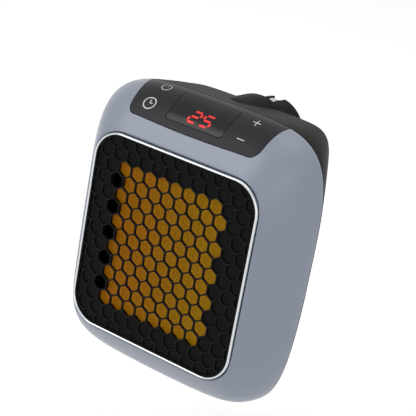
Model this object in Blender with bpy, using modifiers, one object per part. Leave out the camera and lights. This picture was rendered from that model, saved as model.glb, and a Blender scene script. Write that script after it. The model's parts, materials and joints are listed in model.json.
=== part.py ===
"""Plug-in fan heater for a wall socket, built as separate pieces.

The body frame has X across, Y into the wall and Z up, with its origin at the centre of the grille's
honeycomb, on the plane of the grille's front face. The whole heater hangs on its plug, so the world
origin is the centre of the plug's face, where it meets the socket, and the housing turns about the
plug's axis.
"""
import collections
import math

import bmesh
import bpy
from mathutils import Matrix, Vector

MM = 0.001
QUARTER_TURN = math.pi / 2
FULL_TURN = 2 * math.pi
UPRIGHT = Matrix(((1, 0, 0, 0), (0, 0, -1, 0), (0, 1, 0, 0), (0, 0, 0, 1)))

# Fits and facets
CLEARANCE = 0.3 * MM
OVERRUN = 3.0 * MM
WELD = 0.01 * MM
SHARP_ANGLE = math.radians(35)
FLAT_ANGLE = math.radians(0.5)
ROUND_SEGMENTS = 32
FAN_SEGMENTS = 24
SMALL_SEGMENTS = 16
RING_SEGMENTS = 24
SCREW_SEGMENTS = 8
CORNER_STEPS = 6

# Honeycomb lattice of the grille
CELL_PITCH = 7.7 * MM
OPEN_ROWS = 11
OPEN_COLUMNS = 8
BORDER_ROWS = 2
ROW_PITCH = CELL_PITCH * math.sqrt(3) / 2
OPEN_FRONT_SHARE = 0.9
OPEN_REAR_SHARE = 0.94
POCKET_SHARE = 0.9
BORDER_COLUMNS = 2

# Grille block
GRILLE_HALF_WIDTH = 44.4 * MM
GRILLE_HALF_HEIGHT = 46.3 * MM
GRILLE_CORNER = 11.3 * MM
GRILLE_PLATE = 2.4 * MM
GRILLE_WALL = 1.2 * MM
GRILLE_RIM = 0.9 * MM
GRILLE_OPEN_PLATE = 1.3 * MM
POCKET_DEPTH = 1.7 * MM
DEEP_POCKET_DEPTH = 2.0 * MM
FLANGE_REACH = 3.1 * MM
FLANGE_THICKNESS = 1.5 * MM

# Bright trim ring round the grille, its face given as shares of (half width, crest)
TRIM_WIDTH = 3.5 * MM
TRIM_CREST = 0.8 * MM
TRIM_LOW_SHOULDER = 0.9 * MM
TRIM_FACE_SHARES = ((0.9, -0.6), (0.5, 0), (0, 0.75), (-0.4, 1), (-0.75, 0.75), (-1, 0))
REBATE_DEPTH = 2.7 * MM
LEDGE_THICKNESS = 2.0 * MM
LEDGE_REACH = 2.6 * MM

# Outer skin of the housing
SKIN_WALL = 2.2 * MM
SKIN_CENTRE_Z = 1.5 * MM
LIP_DEPTH = 0.4 * MM
LIP_EDGE_SIDE = 0.7 * MM
LIP_EDGE_TOP = 1.1 * MM
LIP_EDGE_BOTTOM = 0.9 * MM
LIP_POWER = 7.5
SEAM_DEPTH = 27.0 * MM
SEAM_HALF_WIDTH = 65.5 * MM
SEAM_TOP = 73.8 * MM
SEAM_BOTTOM = -68.9 * MM
SEAM_TOP_POWER = 4.9
SEAM_BOTTOM_POWER = 6.5
SEAM_TOP_BOW = 0.7 * MM
SEAM_BOTTOM_BOW = 3.3 * MM
SEAM_SIDE_BOW = 5.7 * MM
REAR_DEPTH = 61.6 * MM
REAR_HALF_WIDTH = 44.7 * MM
REAR_TOP = 68.1 * MM
REAR_BOTTOM = -61.6 * MM
REAR_POWER = 9.0
REAR_EDGE = 3.0 * MM
SIDE_SWELL = 1.474
TOP_SWELL = 2.101
BOTTOM_SWELL = 2.3
SKIN_RINGS = 6
SKIN_RING_POWER = 1.6
SKIN_STEP_SHARE = 0.001
QUADRANT_STEPS = 9
CORNER_CROWDING_SHARE = 0.5
REAR_EDGE_STEPS = 2
REAR_RINGS = 3

# Screw bosses of the housing
COVER_SCREW_SIDE_INSET = 8.7 * MM
COVER_SCREW_TOP_INSET = 12.1 * MM
COVER_SCREW_BOTTOM_INSET = 8.1 * MM
COVER_BOSS_RADIUS = 3.6 * MM
DECK_SCREW_EDGE = 4.0 * MM
DECK_SCREW_END = 9.0 * MM
DECK_BOSS_RADIUS = 3.2 * MM
BOSS_SKIN_COVER = 1.0 * MM
SCREW_RADIUS = 1.5 * MM
SCREW_HEAD_RADIUS = 3.0 * MM
SCREW_HEAD = 2.0 * MM
SCREW_BITE = 11.0 * MM
SCREW_END_GAP = 1.0 * MM

# Control panel let into the top of the front shell
PANEL_FRONT = 4.9 * MM
PANEL_FRONT_BOW = 0.7 * MM
PANEL_HALF_WIDTH = 38.3 * MM
PANEL_FLARE = 2.3 * MM
PANEL_CORNER = 5.0 * MM
PANEL_WALL = 2.2 * MM
PANEL_SEAT_WIDTH = 2.5 * MM
PANEL_SEAT_WALL = 1.5 * MM
PANEL_SEAT_MARGIN = 2.0 * MM
WINDOW_HALF_WIDTH = 16.6 * MM
WINDOW_FRONT = 7.5 * MM
WINDOW_REAR = 21.6 * MM
WINDOW_CORNER = 1.5 * MM
WINDOW_STEP = 1.2 * MM
LENS_THICKNESS = 1.0 * MM

# Control board under the panel, with its own tilted frame
BOARD_TILT = math.radians(35.9)
BOARD_CENTRE_Y = 19.5 * MM
BOARD_TOP_INSET = 11.4 * MM
BOARD_HALF_WIDTH = 31.0 * MM
BOARD_HALF_LENGTH = 9.6 * MM
BOARD_THICKNESS = 1.6 * MM
DISPLAY_HALF_WIDTH = 9.0 * MM
DISPLAY_HALF_LENGTH = 5.0 * MM
DISPLAY_HEIGHT = 2.8 * MM
DISPLAY_X = 1.5 * MM
DISPLAY_ALONG = -4.2 * MM
KEY_X = 27.2 * MM
KEY_ALONG = 5.5 * MM
KEY_SPRING_RADIUS = 2.6 * MM
KEY_SPRING_WIRE = 0.35 * MM
KEY_SPRING_TURNS = 2
KEY_SPRING_STEPS = 8
KEY_SPRING_HEIGHT = 3.4 * MM
PANEL_POST_X = 20.5 * MM
PANEL_POST_RADIUS = 2.4 * MM
PANEL_POST_HEIGHT = 6.0 * MM
PANEL_SCREW_RADIUS = 1.0 * MM
PANEL_SCREW_HEAD_RADIUS = 2.0 * MM
PANEL_SCREW_HEAD = 1.2 * MM
PANEL_SCREW_BITE = 3.0 * MM

# Heating element in its frame
FRAME_SIDE_GAP = 5.7 * MM
FRAME_END_GAP = 1.6 * MM
FRAME_CORNER = 3.0 * MM
FRAME_SIDE_WALL = 3.3 * MM
FRAME_END_WALL = 4.7 * MM
BAR_COUNT = 3
BAR_WIDTH = 4.2 * MM
BAR_FRONT = 3.3 * MM
BAR_REAR = 15.3 * MM
BAR_SEAT = 1.2 * MM
TAB_THICKNESS = 0.8 * MM
TAB_WIDTH = 6.3 * MM
TAB_REACH = 6.5 * MM
FIN_SIDE_GAP = 0.6 * MM
FIN_END_GAP = 0.8 * MM
FIN_SHEET = 0.35 * MM
FIN_PITCH = 3.8 * MM
FIN_FRONT = 3.0 * MM
FIN_REAR = 15.0 * MM
CUTOUT_RADIUS = 5.0 * MM
CUTOUT_HEIGHT = 6.0 * MM
CUTOUT_GAP = 0.6 * MM
CUTOUT_CAP_RADIUS = 3.8 * MM
CUTOUT_CAP = 1.4 * MM
FUSE_RADIUS = 1.7 * MM
FUSE_HALF_LENGTH = 6.0 * MM
FUSE_DEPTH = 12.0 * MM
FUSE_LEAD_RADIUS = 0.5 * MM
FUSE_LEAD = 3.0 * MM

# Fan, its deck and duct, and its motor
DECK_FRONT = 20.3 * MM
DECK_THICKNESS = 2.0 * MM
DECK_SIDE_INSET = 9.2 * MM
DECK_END_REACH = 6.4 * MM
DECK_CORNER = 6.0 * MM
DUCT_RADIUS = 36.8 * MM
DUCT_WALL = 1.8 * MM
DUCT_REAR = 34.0 * MM
BLADE_COUNT = 7
BLADE_TIP_GAP = 0.8 * MM
BLADE_THICKNESS = 1.3 * MM
BLADE_ROOT_CHORD = 12.5 * MM
BLADE_TIP_CHORD = 19.0 * MM
BLADE_ROOT_PITCH = math.radians(48)
BLADE_TIP_PITCH = math.radians(27)
BLADE_SWEEP = math.radians(16)
BLADE_STATIONS = 4
BLADE_CHORD_STEPS = 3
BLADE_CAMBER = 1.1 * MM
HUB_RADIUS = 12.0 * MM
HUB_WALL = 1.6 * MM
HUB_FRONT = 22.8 * MM
HUB_REAR = 33.0 * MM
HUB_NOSE = 2.5 * MM
HUB_CORE_RADIUS = 3.6 * MM
SHAFT_RADIUS = 1.5 * MM
SHAFT_FRONT = 24.6 * MM
SHAFT_REAR = 44.0 * MM
BRACKET_THICKNESS = 2.0 * MM
BRACKET_ARMS = 3
BRACKET_ARM_WIDTH = 6.0 * MM
BRACKET_DISC_RADIUS = 13.0 * MM
BRACKET_HOLE_RADIUS = 3.2 * MM
MOTOR_RADIUS = 12.0 * MM
MOTOR_LENGTH = 15.4 * MM
MOTOR_EDGE = 1.0 * MM
MOTOR_TAIL_RADIUS = 4.0 * MM
MOTOR_TAIL = 1.6 * MM

# Rear cover: rim, tongue, wells, slots and the plug's turret
TONGUE_FRONT = 24.0 * MM
TONGUE_THICKNESS = 1.2 * MM
TONGUE_TAPER = 0.3 * MM
TONGUE_ROOT = 2.7 * MM
TONGUE_ROOT_INSET = 1.0 * MM
TONGUE_GAP_HALF_WIDTH = 45.0 * MM
TONGUE_GAP_BOTTOM = 58.0 * MM
WELL_RADIUS = 4.8 * MM
WELL_WALL = 1.4 * MM
WELL_FLOOR = 2.7 * MM
SLOT_ROWS = 7
SLOT_COLUMNS = 3
SLOT_PITCH = 7.4 * MM
SLOT_HEIGHT = 4.6 * MM
SLOT_LENGTH = 22.0 * MM
SLOT_BRIDGE = 3.2 * MM
SLOT_END_STEPS = 1
TURRET_Z = 51.3 * MM
TURRET_RADIUS = 20.8 * MM
TURRET_FRONT = 37.0 * MM
TURRET_REAR = 62.8 * MM
TURRET_SHOULDER = 5.0 * MM
TURRET_SHOULDER_STEPS = 3
TURRET_WALL = 1.6 * MM
TURRET_BORE_RADIUS = 19.4 * MM
TURRET_BORE_FRONT = 57.3 * MM
TURRET_CAVITY_RADIUS = 17.5 * MM
TURRET_WIRE_HOLE = 6.0 * MM

# Plug
PLUG_FLANGE = 1.2 * MM
PLUG_NOSE_RADIUS = 17.75 * MM
PLUG_FACE_Y = 80.8 * MM
PLUG_NOSE_EDGE = 0.8 * MM
PLUG_SHOULDER_FRONT = 54.0 * MM
PLUG_HUB_RADIUS = 14.5 * MM
PLUG_HUB_FRONT = 47.0 * MM
WASHER_THICKNESS = 1.0 * MM
RING_THICKNESS = 2.2 * MM
PIN_SPACING = 19.0 * MM
PIN_RADIUS = 2.4 * MM
PIN_REACH = 19.0 * MM
PIN_ROOT = 49.5 * MM
PIN_TIP = 1.6 * MM
GROOVE_FRONT = 64.5 * MM
GUIDE_GROOVE_HALF = 2.9 * MM
GUIDE_GROOVE_FLOOR = 15.9 * MM
EARTH_NOTCH_HALF = 3.2 * MM
EARTH_NOTCH_FLOOR = 14.2 * MM
EARTH_STRIP = 0.6 * MM
EARTH_STRIP_HALF_WIDTH = 2.0 * MM
EARTH_STRIP_RISE = 2.0 * MM
EARTH_STRIP_END_GAP = 0.6 * MM
EARTH_STRIP_BEND_SHARES = (0.25, 0.5, 0.75)

# Main board and what it carries
MAIN_BOARD_HALF_WIDTH = 30.0 * MM
MAIN_BOARD_HEIGHT = 30.0 * MM
MAIN_BOARD_END_GAP = 2.4 * MM
MAIN_BOARD_THICKNESS = 1.6 * MM
STANDOFF_HEIGHT = 4.4 * MM
STANDOFF_RADIUS = 3.0 * MM
STANDOFF_EDGE = 4.0 * MM
BOARD_SCREW_RADIUS = 1.1 * MM
BOARD_SCREW_HEAD_RADIUS = 2.4 * MM
BOARD_SCREW_HEAD = 1.4 * MM
BOARD_SCREW_BITE = 2.8 * MM
RELAY_SIZE = (19.0 * MM, 12.0 * MM, 15.0 * MM)
RELAY_PLACE = (-11.0 * MM, 1.0 * MM)
CAPACITOR_SIZE = (18.0 * MM, 11.0 * MM, 8.0 * MM)
CAPACITOR_PLACE = (11.5 * MM, -8.0 * MM)
TRANSFORMER_SIZE = (15.0 * MM, 12.5 * MM, 13.0 * MM)
TRANSFORMER_PLACE = (11.5 * MM, 5.5 * MM)
SENSOR_RADIUS = 1.6 * MM
SENSOR_LENGTH = 5.0 * MM
SENSOR_PLACE = (-26.0 * MM, 0)
COMPONENT_EDGE = 0.6 * MM

# Places that follow from the sizes above
TRIM_HALF_WIDTH = GRILLE_HALF_WIDTH + CLEARANCE + TRIM_WIDTH
TRIM_HALF_HEIGHT = GRILLE_HALF_HEIGHT + CLEARANCE + TRIM_WIDTH
TRIM_CORNER = GRILLE_CORNER + CLEARANCE + TRIM_WIDTH
LEDGE_REAR = REBATE_DEPTH + LEDGE_THICKNESS
FLANGE_FRONT = LEDGE_REAR + CLEARANCE
GRILLE_REAR = FLANGE_FRONT + FLANGE_THICKNESS
COVER_FRONT = SEAM_DEPTH + CLEARANCE
BOSS_REAR = SEAM_DEPTH - CLEARANCE
DECK_REAR = DECK_FRONT + DECK_THICKNESS
DECK_BOSS_REAR = DECK_FRONT - CLEARANCE
FRAME_FRONT = GRILLE_PLATE + CLEARANCE
FRAME_REAR = DECK_FRONT - CLEARANCE
FRAME_HALF_WIDTH = GRILLE_HALF_WIDTH - GRILLE_WALL - FRAME_SIDE_GAP
FRAME_HALF_HEIGHT = GRILLE_HALF_HEIGHT - GRILLE_WALL - FRAME_END_GAP
FRAME_WINDOW_HALF_WIDTH = FRAME_HALF_WIDTH - FRAME_SIDE_WALL
FRAME_WINDOW_HALF_HEIGHT = FRAME_HALF_HEIGHT - FRAME_END_WALL
BAR_HALF_HEIGHT = FRAME_WINDOW_HALF_HEIGHT + BAR_SEAT
BARS_WIDTH = BAR_COUNT * (BAR_WIDTH + 2 * CLEARANCE)
FIN_WIDTH = (2 * (FRAME_WINDOW_HALF_WIDTH - FIN_SIDE_GAP) - BARS_WIDTH) / (BAR_COUNT + 1)
FIN_HALF_HEIGHT = FRAME_WINDOW_HALF_HEIGHT - FIN_END_GAP
CUTOUT_X = FRAME_HALF_WIDTH + CUTOUT_GAP + CUTOUT_RADIUS
DECK_HALF_WIDTH = SEAM_HALF_WIDTH - DECK_SIDE_INSET
DECK_HALF_HEIGHT = DUCT_RADIUS + DUCT_WALL + DECK_END_REACH
DECK_SCREW_X = DECK_HALF_WIDTH - DECK_SCREW_EDGE
DECK_SCREW_Z = DECK_HALF_HEIGHT - DECK_SCREW_END
BLADE_TIP_RADIUS = DUCT_RADIUS - BLADE_TIP_GAP
COVER_SCREW_X = REAR_HALF_WIDTH - COVER_SCREW_SIDE_INSET
COVER_SCREW_TOP_Z = REAR_TOP - COVER_SCREW_TOP_INSET
COVER_SCREW_BOTTOM_Z = REAR_BOTTOM + COVER_SCREW_BOTTOM_INSET
BRACKET_FRONT = DUCT_REAR + CLEARANCE
BRACKET_REAR = BRACKET_FRONT + BRACKET_THICKNESS
MOTOR_FRONT = BRACKET_REAR + CLEARANCE
WELL_SEAT = COVER_FRONT + WELL_FLOOR
TURRET_CAVITY_FRONT = TURRET_FRONT + TURRET_WALL
WASHER_FRONT = TURRET_BORE_FRONT + CLEARANCE
PLUG_FLANGE_FRONT = WASHER_FRONT + WASHER_THICKNESS + CLEARANCE
PLUG_FLANGE_REAR = PLUG_FLANGE_FRONT + PLUG_FLANGE
PLUG_FLANGE_RADIUS = TURRET_BORE_RADIUS - CLEARANCE
RING_FRONT = PLUG_FLANGE_REAR + CLEARANCE
REAR_INSIDE = REAR_DEPTH - SKIN_WALL
STANDOFF_FRONT = REAR_INSIDE - STANDOFF_HEIGHT
MAIN_BOARD_REAR = STANDOFF_FRONT - CLEARANCE
MAIN_BOARD_FRONT = MAIN_BOARD_REAR - MAIN_BOARD_THICKNESS
MAIN_BOARD_BOTTOM = REAR_BOTTOM + SKIN_WALL + MAIN_BOARD_END_GAP
MAIN_BOARD_TOP = MAIN_BOARD_BOTTOM + MAIN_BOARD_HEIGHT
MAIN_BOARD_MIDDLE = (MAIN_BOARD_BOTTOM + MAIN_BOARD_TOP) / 2
STANDOFF_X = MAIN_BOARD_HALF_WIDTH - STANDOFF_EDGE
STANDOFF_TOP_Z = MAIN_BOARD_TOP - STANDOFF_EDGE
STANDOFF_BOTTOM_Z = MAIN_BOARD_BOTTOM + STANDOFF_EDGE
BOARD_TOP_FACE = BOARD_THICKNESS / 2
BOARD_CENTRE_Z = SEAM_TOP - BOARD_TOP_INSET
COVER_SCREW_PLACES = [
    (side * COVER_SCREW_X, height)
    for side in (-1, 1)
    for height in (COVER_SCREW_TOP_Z, COVER_SCREW_BOTTOM_Z)
]
DECK_SCREW_PLACES = [
    (side * DECK_SCREW_X, level * DECK_SCREW_Z) for side in (-1, 1) for level in (-1, 1)
]
BOARD_SCREW_PLACES = [(side * STANDOFF_X, STANDOFF_TOP_Z) for side in (-1, 1)]

Section = collections.namedtuple(
    "Section",
    "half_width top bottom top_power bottom_power top_bow bottom_bow side_bow",
)
LIP = Section(
    half_width=TRIM_HALF_WIDTH + CLEARANCE + LIP_EDGE_SIDE,
    top=TRIM_HALF_HEIGHT + CLEARANCE + LIP_EDGE_TOP,
    bottom=-TRIM_HALF_HEIGHT - CLEARANCE - LIP_EDGE_BOTTOM,
    top_power=LIP_POWER,
    bottom_power=LIP_POWER,
    top_bow=0,
    bottom_bow=0,
    side_bow=0,
)
SEAM = Section(
    half_width=SEAM_HALF_WIDTH,
    top=SEAM_TOP,
    bottom=SEAM_BOTTOM,
    top_power=SEAM_TOP_POWER,
    bottom_power=SEAM_BOTTOM_POWER,
    top_bow=SEAM_TOP_BOW,
    bottom_bow=SEAM_BOTTOM_BOW,
    side_bow=SEAM_SIDE_BOW,
)
REAR = Section(
    half_width=REAR_HALF_WIDTH,
    top=REAR_TOP,
    bottom=REAR_BOTTOM,
    top_power=REAR_POWER,
    bottom_power=REAR_POWER,
    top_bow=0,
    bottom_bow=0,
    side_bow=0,
)


def clear_scene():
    for obj in list(bpy.data.objects):
        bpy.data.objects.remove(obj)


def new_collection(name):
    group = bpy.data.collections.new(name)
    bpy.context.scene.collection.children.link(group)
    return group


clear_scene()
PARTS = new_collection("space_heater")
TOOLS = new_collection("cutters")


def material(name, colour, roughness, metallic=0.0):
    made = bpy.data.materials.new(name)
    made.use_nodes = True
    shader = made.node_tree.nodes["Principled BSDF"]
    shader.inputs["Base Color"].default_value = (*colour, 1.0)
    shader.inputs["Roughness"].default_value = roughness
    shader.inputs["Metallic"].default_value = metallic
    return made


def empty(name, location, parent=None, tilt=0):
    made = bpy.data.objects.new(name, None)
    PARTS.objects.link(made)
    made.parent = parent
    made.location = location
    made.rotation_euler.x = tilt
    return made


def as_part(obj, finish, parent):
    """Puts a piece among the parts, on the frame that carries it."""
    PARTS.objects.link(obj)
    obj.parent = parent
    obj.data.materials.append(finish)
    return obj


def as_tool(obj, parent):
    """Puts a shape among the cutters: it cuts or joins a part and isn't one itself."""
    TOOLS.objects.link(obj)
    obj.parent = parent
    obj.hide_render = True
    obj.display_type = "WIRE"
    return obj


def combine(obj, tool, operation):
    step = obj.modifiers.new(tool.name, "BOOLEAN")
    step.operation = operation
    step.object = tool
    return obj


def cut(obj, tool):
    return combine(obj, tool, "DIFFERENCE")


def join(obj, tool):
    return combine(obj, tool, "UNION")


def keep(obj, tool):
    return combine(obj, tool, "INTERSECT")


def smooth(mesh):
    mesh.shade_smooth()
    mesh.set_sharp_from_angle(angle=SHARP_ANGLE)


def object_from(name, bm):
    """A mesh object whose faces all point outwards, shaded smooth between sharp edges."""
    mesh = bpy.data.meshes.new(name)
    bm.to_mesh(mesh)
    bm.free()
    smooth(mesh)
    return bpy.data.objects.new(name, mesh)


def box(name, low, high, edge=0):
    """A box between two corners, with its edges rounded where an edge radius is given."""
    bm = bmesh.new()
    bmesh.ops.create_cube(bm, size=1)
    bmesh.ops.scale(bm, vec=Vector(high) - Vector(low), verts=bm.verts)
    bmesh.ops.translate(bm, vec=(Vector(high) + Vector(low)) / 2, verts=bm.verts)
    made = object_from(name, bm)
    if edge:
        bevel = made.modifiers.new("edges", "BEVEL")
        bevel.width = edge
        bevel.segments = 1
    return made


def add_rod(bm, radius, front, rear, x=0, z=0, segments=SMALL_SEGMENTS, front_radius=None):
    """Adds a cylinder or cone along Y between two depths."""
    middle = Matrix.Translation((x, (front + rear) / 2, z))
    bmesh.ops.create_cone(
        bm,
        cap_ends=True,
        segments=segments,
        radius1=radius,
        radius2=radius if front_radius is None else front_radius,
        depth=rear - front,
        matrix=middle @ UPRIGHT,
    )


def rods(name, radius, front, rear, places, segments=SMALL_SEGMENTS):
    """Equal cylinders along Y, one at each (x, z) place."""
    bm = bmesh.new()
    for x, z in places:
        add_rod(bm, radius, front, rear, x, z, segments)
    return object_from(name, bm)


def turned(name, profile, segments=ROUND_SEGMENTS, ring=False, x=0, z=0):
    """A profile of (radius, depth) points, front to rear along the outside, turned about Y."""
    bm = bmesh.new()
    points = [bm.verts.new((radius, 0, -depth)) for radius, depth in profile]
    for first, second in zip(points, points[1:] + points[:1] if ring else points[1:]):
        bm.edges.new((first, second))
    made = object_from(name, bm)
    screw = made.modifiers.new("turn", "SCREW")
    screw.steps = segments
    screw.render_steps = segments
    screw.use_merge_vertices = True
    screw.merge_threshold = WELD
    screw.use_smooth_shade = True
    made.rotation_euler.x = QUARTER_TURN
    made.location = (x, 0, z)
    return made


def rounded_rectangle(half_width, half_height, radius, steps=CORNER_STEPS):
    """Points round a rectangle with arcs at its corners, anticlockwise from the right side."""
    points = []
    for corner in range(4):
        across = 1 if corner in (0, 3) else -1
        upward = 1 if corner in (0, 1) else -1
        for step in range(steps + 1):
            angle = (corner + step / steps) * QUARTER_TURN
            points.append(
                (
                    across * (half_width - radius) + radius * math.cos(angle),
                    upward * (half_height - radius) + radius * math.sin(angle),
                )
            )
    return points


def circle(radius, x=0, z=0, segments=SMALL_SEGMENTS):
    """Points round a circle."""
    turns = [step / segments * FULL_TURN for step in range(segments)]
    return [(x + radius * math.cos(turn), z + radius * math.sin(turn)) for turn in turns]


def plate(name, outline, low, high, level=False, holes=()):
    """A flat outline thickened between two depths along Y or, where level, two heights along Z."""
    curve = bpy.data.curves.new(name, "CURVE")
    curve.dimensions = "2D"
    curve.fill_mode = "BOTH"
    curve.extrude = (high - low) / 2
    for line in (outline, *holes):
        spline = curve.splines.new("POLY")
        spline.points.add(len(line) - 1)
        for point, (across, along) in zip(spline.points, line):
            point.co = (across, along, 0, 1)
        spline.use_cyclic_u = True
    drawn = bpy.data.objects.new(name + "_outline", curve)
    TOOLS.objects.link(drawn)
    bpy.context.view_layer.update()
    graph = bpy.context.evaluated_depsgraph_get()
    mesh = bpy.data.meshes.new_from_object(drawn.evaluated_get(graph))
    bm = bmesh.new()
    bm.from_mesh(mesh)
    bmesh.ops.remove_doubles(bm, verts=bm.verts, dist=WELD)
    bmesh.ops.dissolve_limit(bm, angle_limit=FLAT_ANGLE, verts=bm.verts, edges=bm.edges)
    bmesh.ops.recalc_face_normals(bm, faces=bm.faces)
    middle = (low + high) / 2
    if level:
        bm.transform(Matrix.Translation((0, 0, middle)))
    else:
        bm.transform(Matrix.Translation((0, middle, 0)) @ UPRIGHT)
    made = object_from(name, bm)
    made.matrix_world = drawn.matrix_world
    bpy.data.objects.remove(drawn)
    bpy.data.meshes.remove(mesh)
    return made


def ribbon(path, thickness):
    """The outline of a strip of even thickness that follows a path of straight runs."""
    left = []
    right = []
    for i, point in enumerate(path):
        here = Vector(point)
        before = (here - Vector(path[i - 1])).normalized() if i else None
        after = (Vector(path[i + 1]) - here).normalized() if i + 1 < len(path) else before
        before = before or after
        along = (before + after).normalized()
        reach = thickness / 2 / max(along.dot(before), math.cos(QUARTER_TURN / 2))
        side = Vector((-along.y, along.x)) * reach
        left.append(tuple(here + side))
        right.append(tuple(here - side))
    return left + right[::-1]


def loft(name, rings, capped=True):
    """A skin through rings that run anticlockwise as seen from the front, front ring first."""
    bm = bmesh.new()
    rows = [[bm.verts.new(point) for point in ring] for ring in rings]
    for near, far in zip(rows, rows[1:]):
        for i in range(len(near)):
            j = (i + 1) % len(near)
            bm.faces.new((near[i], far[i], far[j], near[j]))
    if capped:
        bm.faces.new(rows[0])
        bm.faces.new(rows[-1][::-1])
    return object_from(name, bm)


def ring_sweep(name, sections):
    """A closed ring: like sections, one after another round a loop, joined end to end."""
    bm = bmesh.new()
    rows = [[bm.verts.new(point) for point in section] for section in sections]
    for i, near in enumerate(rows):
        far = rows[(i + 1) % len(rows)]
        for j in range(len(near)):
            k = (j + 1) % len(near)
            bm.faces.new((near[j], far[j], far[k], near[k]))
    bmesh.ops.recalc_face_normals(bm, faces=bm.faces)
    return object_from(name, bm)


def between(first, last, share):
    return first + (last - first) * share


def skin_angles():
    """Directions round the skin's section, closer together at its corners."""
    angles = []
    for quadrant in range(4):
        for step in range(QUADRANT_STEPS):
            share = step / QUADRANT_STEPS
            crowding = CORNER_CROWDING_SHARE * math.sin(FULL_TURN * share) / FULL_TURN
            angles.append((quadrant + share + crowding) * QUARTER_TURN)
    return angles


def section_point(section, angle):
    """The (x, z) point of a section in one direction from its centre."""
    across = math.cos(angle)
    upward = math.sin(angle)
    above = upward >= 0
    height = section.top - SKIN_CENTRE_Z if above else SKIN_CENTRE_Z - section.bottom
    power = section.top_power if above else section.bottom_power
    reach = abs(across / section.half_width) ** power + abs(upward / height) ** power
    radius = reach ** (-1 / power)
    x = radius * across
    z = radius * upward
    aside = x / section.half_width
    rise = z / height
    bow = section.top_bow if above else section.bottom_bow
    lean = 0 if above else section.side_bow
    return x - lean * rise * rise * aside, SKIN_CENTRE_Z + z - bow * aside * aside * rise


def front_section(share):
    """The section of the front skin, from its lip at share 0 to the seam at share 1."""
    side = 1 - (1 - share) ** SIDE_SWELL
    top = 1 - (1 - share) ** TOP_SWELL
    bottom = 1 - (1 - share) ** BOTTOM_SWELL
    return Section(
        half_width=between(LIP.half_width, SEAM.half_width, side),
        top=between(LIP.top, SEAM.top, top),
        bottom=between(LIP.bottom, SEAM.bottom, bottom),
        top_power=between(LIP.top_power, SEAM.top_power, side),
        bottom_power=between(LIP.bottom_power, SEAM.bottom_power, side),
        top_bow=SEAM.top_bow * side,
        bottom_bow=SEAM.bottom_bow * side,
        side_bow=SEAM.side_bow * side,
    )


def rear_section(depth):
    """The section of the rear skin at one depth, between the seam and the back."""
    share = (depth - COVER_FRONT) / (REAR_DEPTH - COVER_FRONT)
    return Section(*(between(first, last, share) for first, last in zip(SEAM, REAR)))


def front_point(share, angle):
    x, z = section_point(front_section(share), angle)
    return Vector((x, between(LIP_DEPTH, SEAM_DEPTH, share), z))


def front_inset_point(share, angle, inset):
    """A point of the front skin moved straight inwards, square to the skin."""
    later = min(share + SKIN_STEP_SHARE, 1)
    sooner = max(share - SKIN_STEP_SHARE, 0)
    along = front_point(later, angle) - front_point(sooner, angle)
    across = front_point(share, angle + SKIN_STEP_SHARE) - front_point(share, angle - SKIN_STEP_SHARE)
    return front_point(share, angle) - along.cross(across).normalized() * inset


def skin_shares():
    return [(ring / SKIN_RINGS) ** SKIN_RING_POWER for ring in range(SKIN_RINGS + 1)]


def thicken(skin, thickness):
    """Gives an open skin its wall, inwards from the surface."""
    wall = skin.modifiers.new("wall", "SOLIDIFY")
    wall.thickness = thickness
    wall.offset = -1
    wall.use_even_offset = True
    return skin


def front_skin(name, thickness):
    """The front half's surface from its lip to just past the seam, with its wall."""
    rings = [[front_point(share, angle) for angle in skin_angles()] for share in skin_shares()]
    rings.append([Vector((point.x, SEAM_DEPTH + OVERRUN, point.z)) for point in rings[-1]])
    return thicken(loft(name, rings, capped=False), thickness)


def beyond_seam(name, near, far):
    """A block across the whole housing between two depths, to trim a half flat at the seam."""
    reach = SEAM_HALF_WIDTH + SEAM_TOP
    return box(name, (-reach, near, -reach), (reach, far, reach))


def front_core(name, inset):
    """The solid inside the front skin, a given depth under its surface, run on past the seam."""
    rings = [
        [front_inset_point(share, angle, inset) for angle in skin_angles()]
        for share in skin_shares()
    ]
    rings.append([Vector((point.x, SEAM_DEPTH + 2 * OVERRUN, point.z)) for point in rings[-1]])
    return loft(name, rings)


def inset_ring(section, depth, inset):
    """A section's ring at one depth, moved inwards in its own plane."""
    points = [Vector(section_point(section, angle)) for angle in skin_angles()]
    ring = []
    for i, point in enumerate(points):
        along = (points[(i + 1) % len(points)] - points[i - 1]).normalized()
        ring.append(Vector((point.x - along.y * inset, depth, point.y + along.x * inset)))
    return ring


def panel_outline(inset=0, rear=SEAM_DEPTH + 2 * OVERRUN):
    """The panel's plan outline as (x, y), from its front edge back past the seam."""
    half_width = PANEL_HALF_WIDTH - inset
    corner = PANEL_CORNER - inset
    front = PANEL_FRONT + PANEL_FRONT_BOW + inset
    straight = half_width - corner
    points = []
    for step in range(-CORNER_STEPS + 1, CORNER_STEPS):
        share = step / CORNER_STEPS
        points.append((share * straight, front - PANEL_FRONT_BOW * (1 - share * share)))
    for step in range(CORNER_STEPS + 1):
        angle = step / CORNER_STEPS * QUARTER_TURN
        points.append(
            (straight + corner * math.sin(angle), front + corner * (1 - math.cos(angle)))
        )
    flare = PANEL_FLARE * (rear - front - corner) / (SEAM_DEPTH - front - corner)
    points.append((half_width + flare, rear))
    points.append((-half_width - flare, rear))
    for step in range(CORNER_STEPS, -1, -1):
        angle = step / CORNER_STEPS * QUARTER_TURN
        points.append(
            (-straight - corner * math.sin(angle), front + corner * (1 - math.cos(angle)))
        )
    return points


def window_outline(inset=0):
    """The display window's plan outline as (x, y)."""
    middle = (WINDOW_FRONT + WINDOW_REAR) / 2
    half_length = (WINDOW_REAR - WINDOW_FRONT) / 2
    outline = rounded_rectangle(
        WINDOW_HALF_WIDTH - inset, half_length - inset, WINDOW_CORNER, CORNER_STEPS // 2
    )
    return [(x, y + middle) for x, y in outline]


def top_prism(name, outline):
    """An outline in plan, stood up through the top wall of the front shell."""
    return plate(name, outline, TRIM_HALF_HEIGHT - OVERRUN, SEAM_TOP + OVERRUN, level=True)


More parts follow.
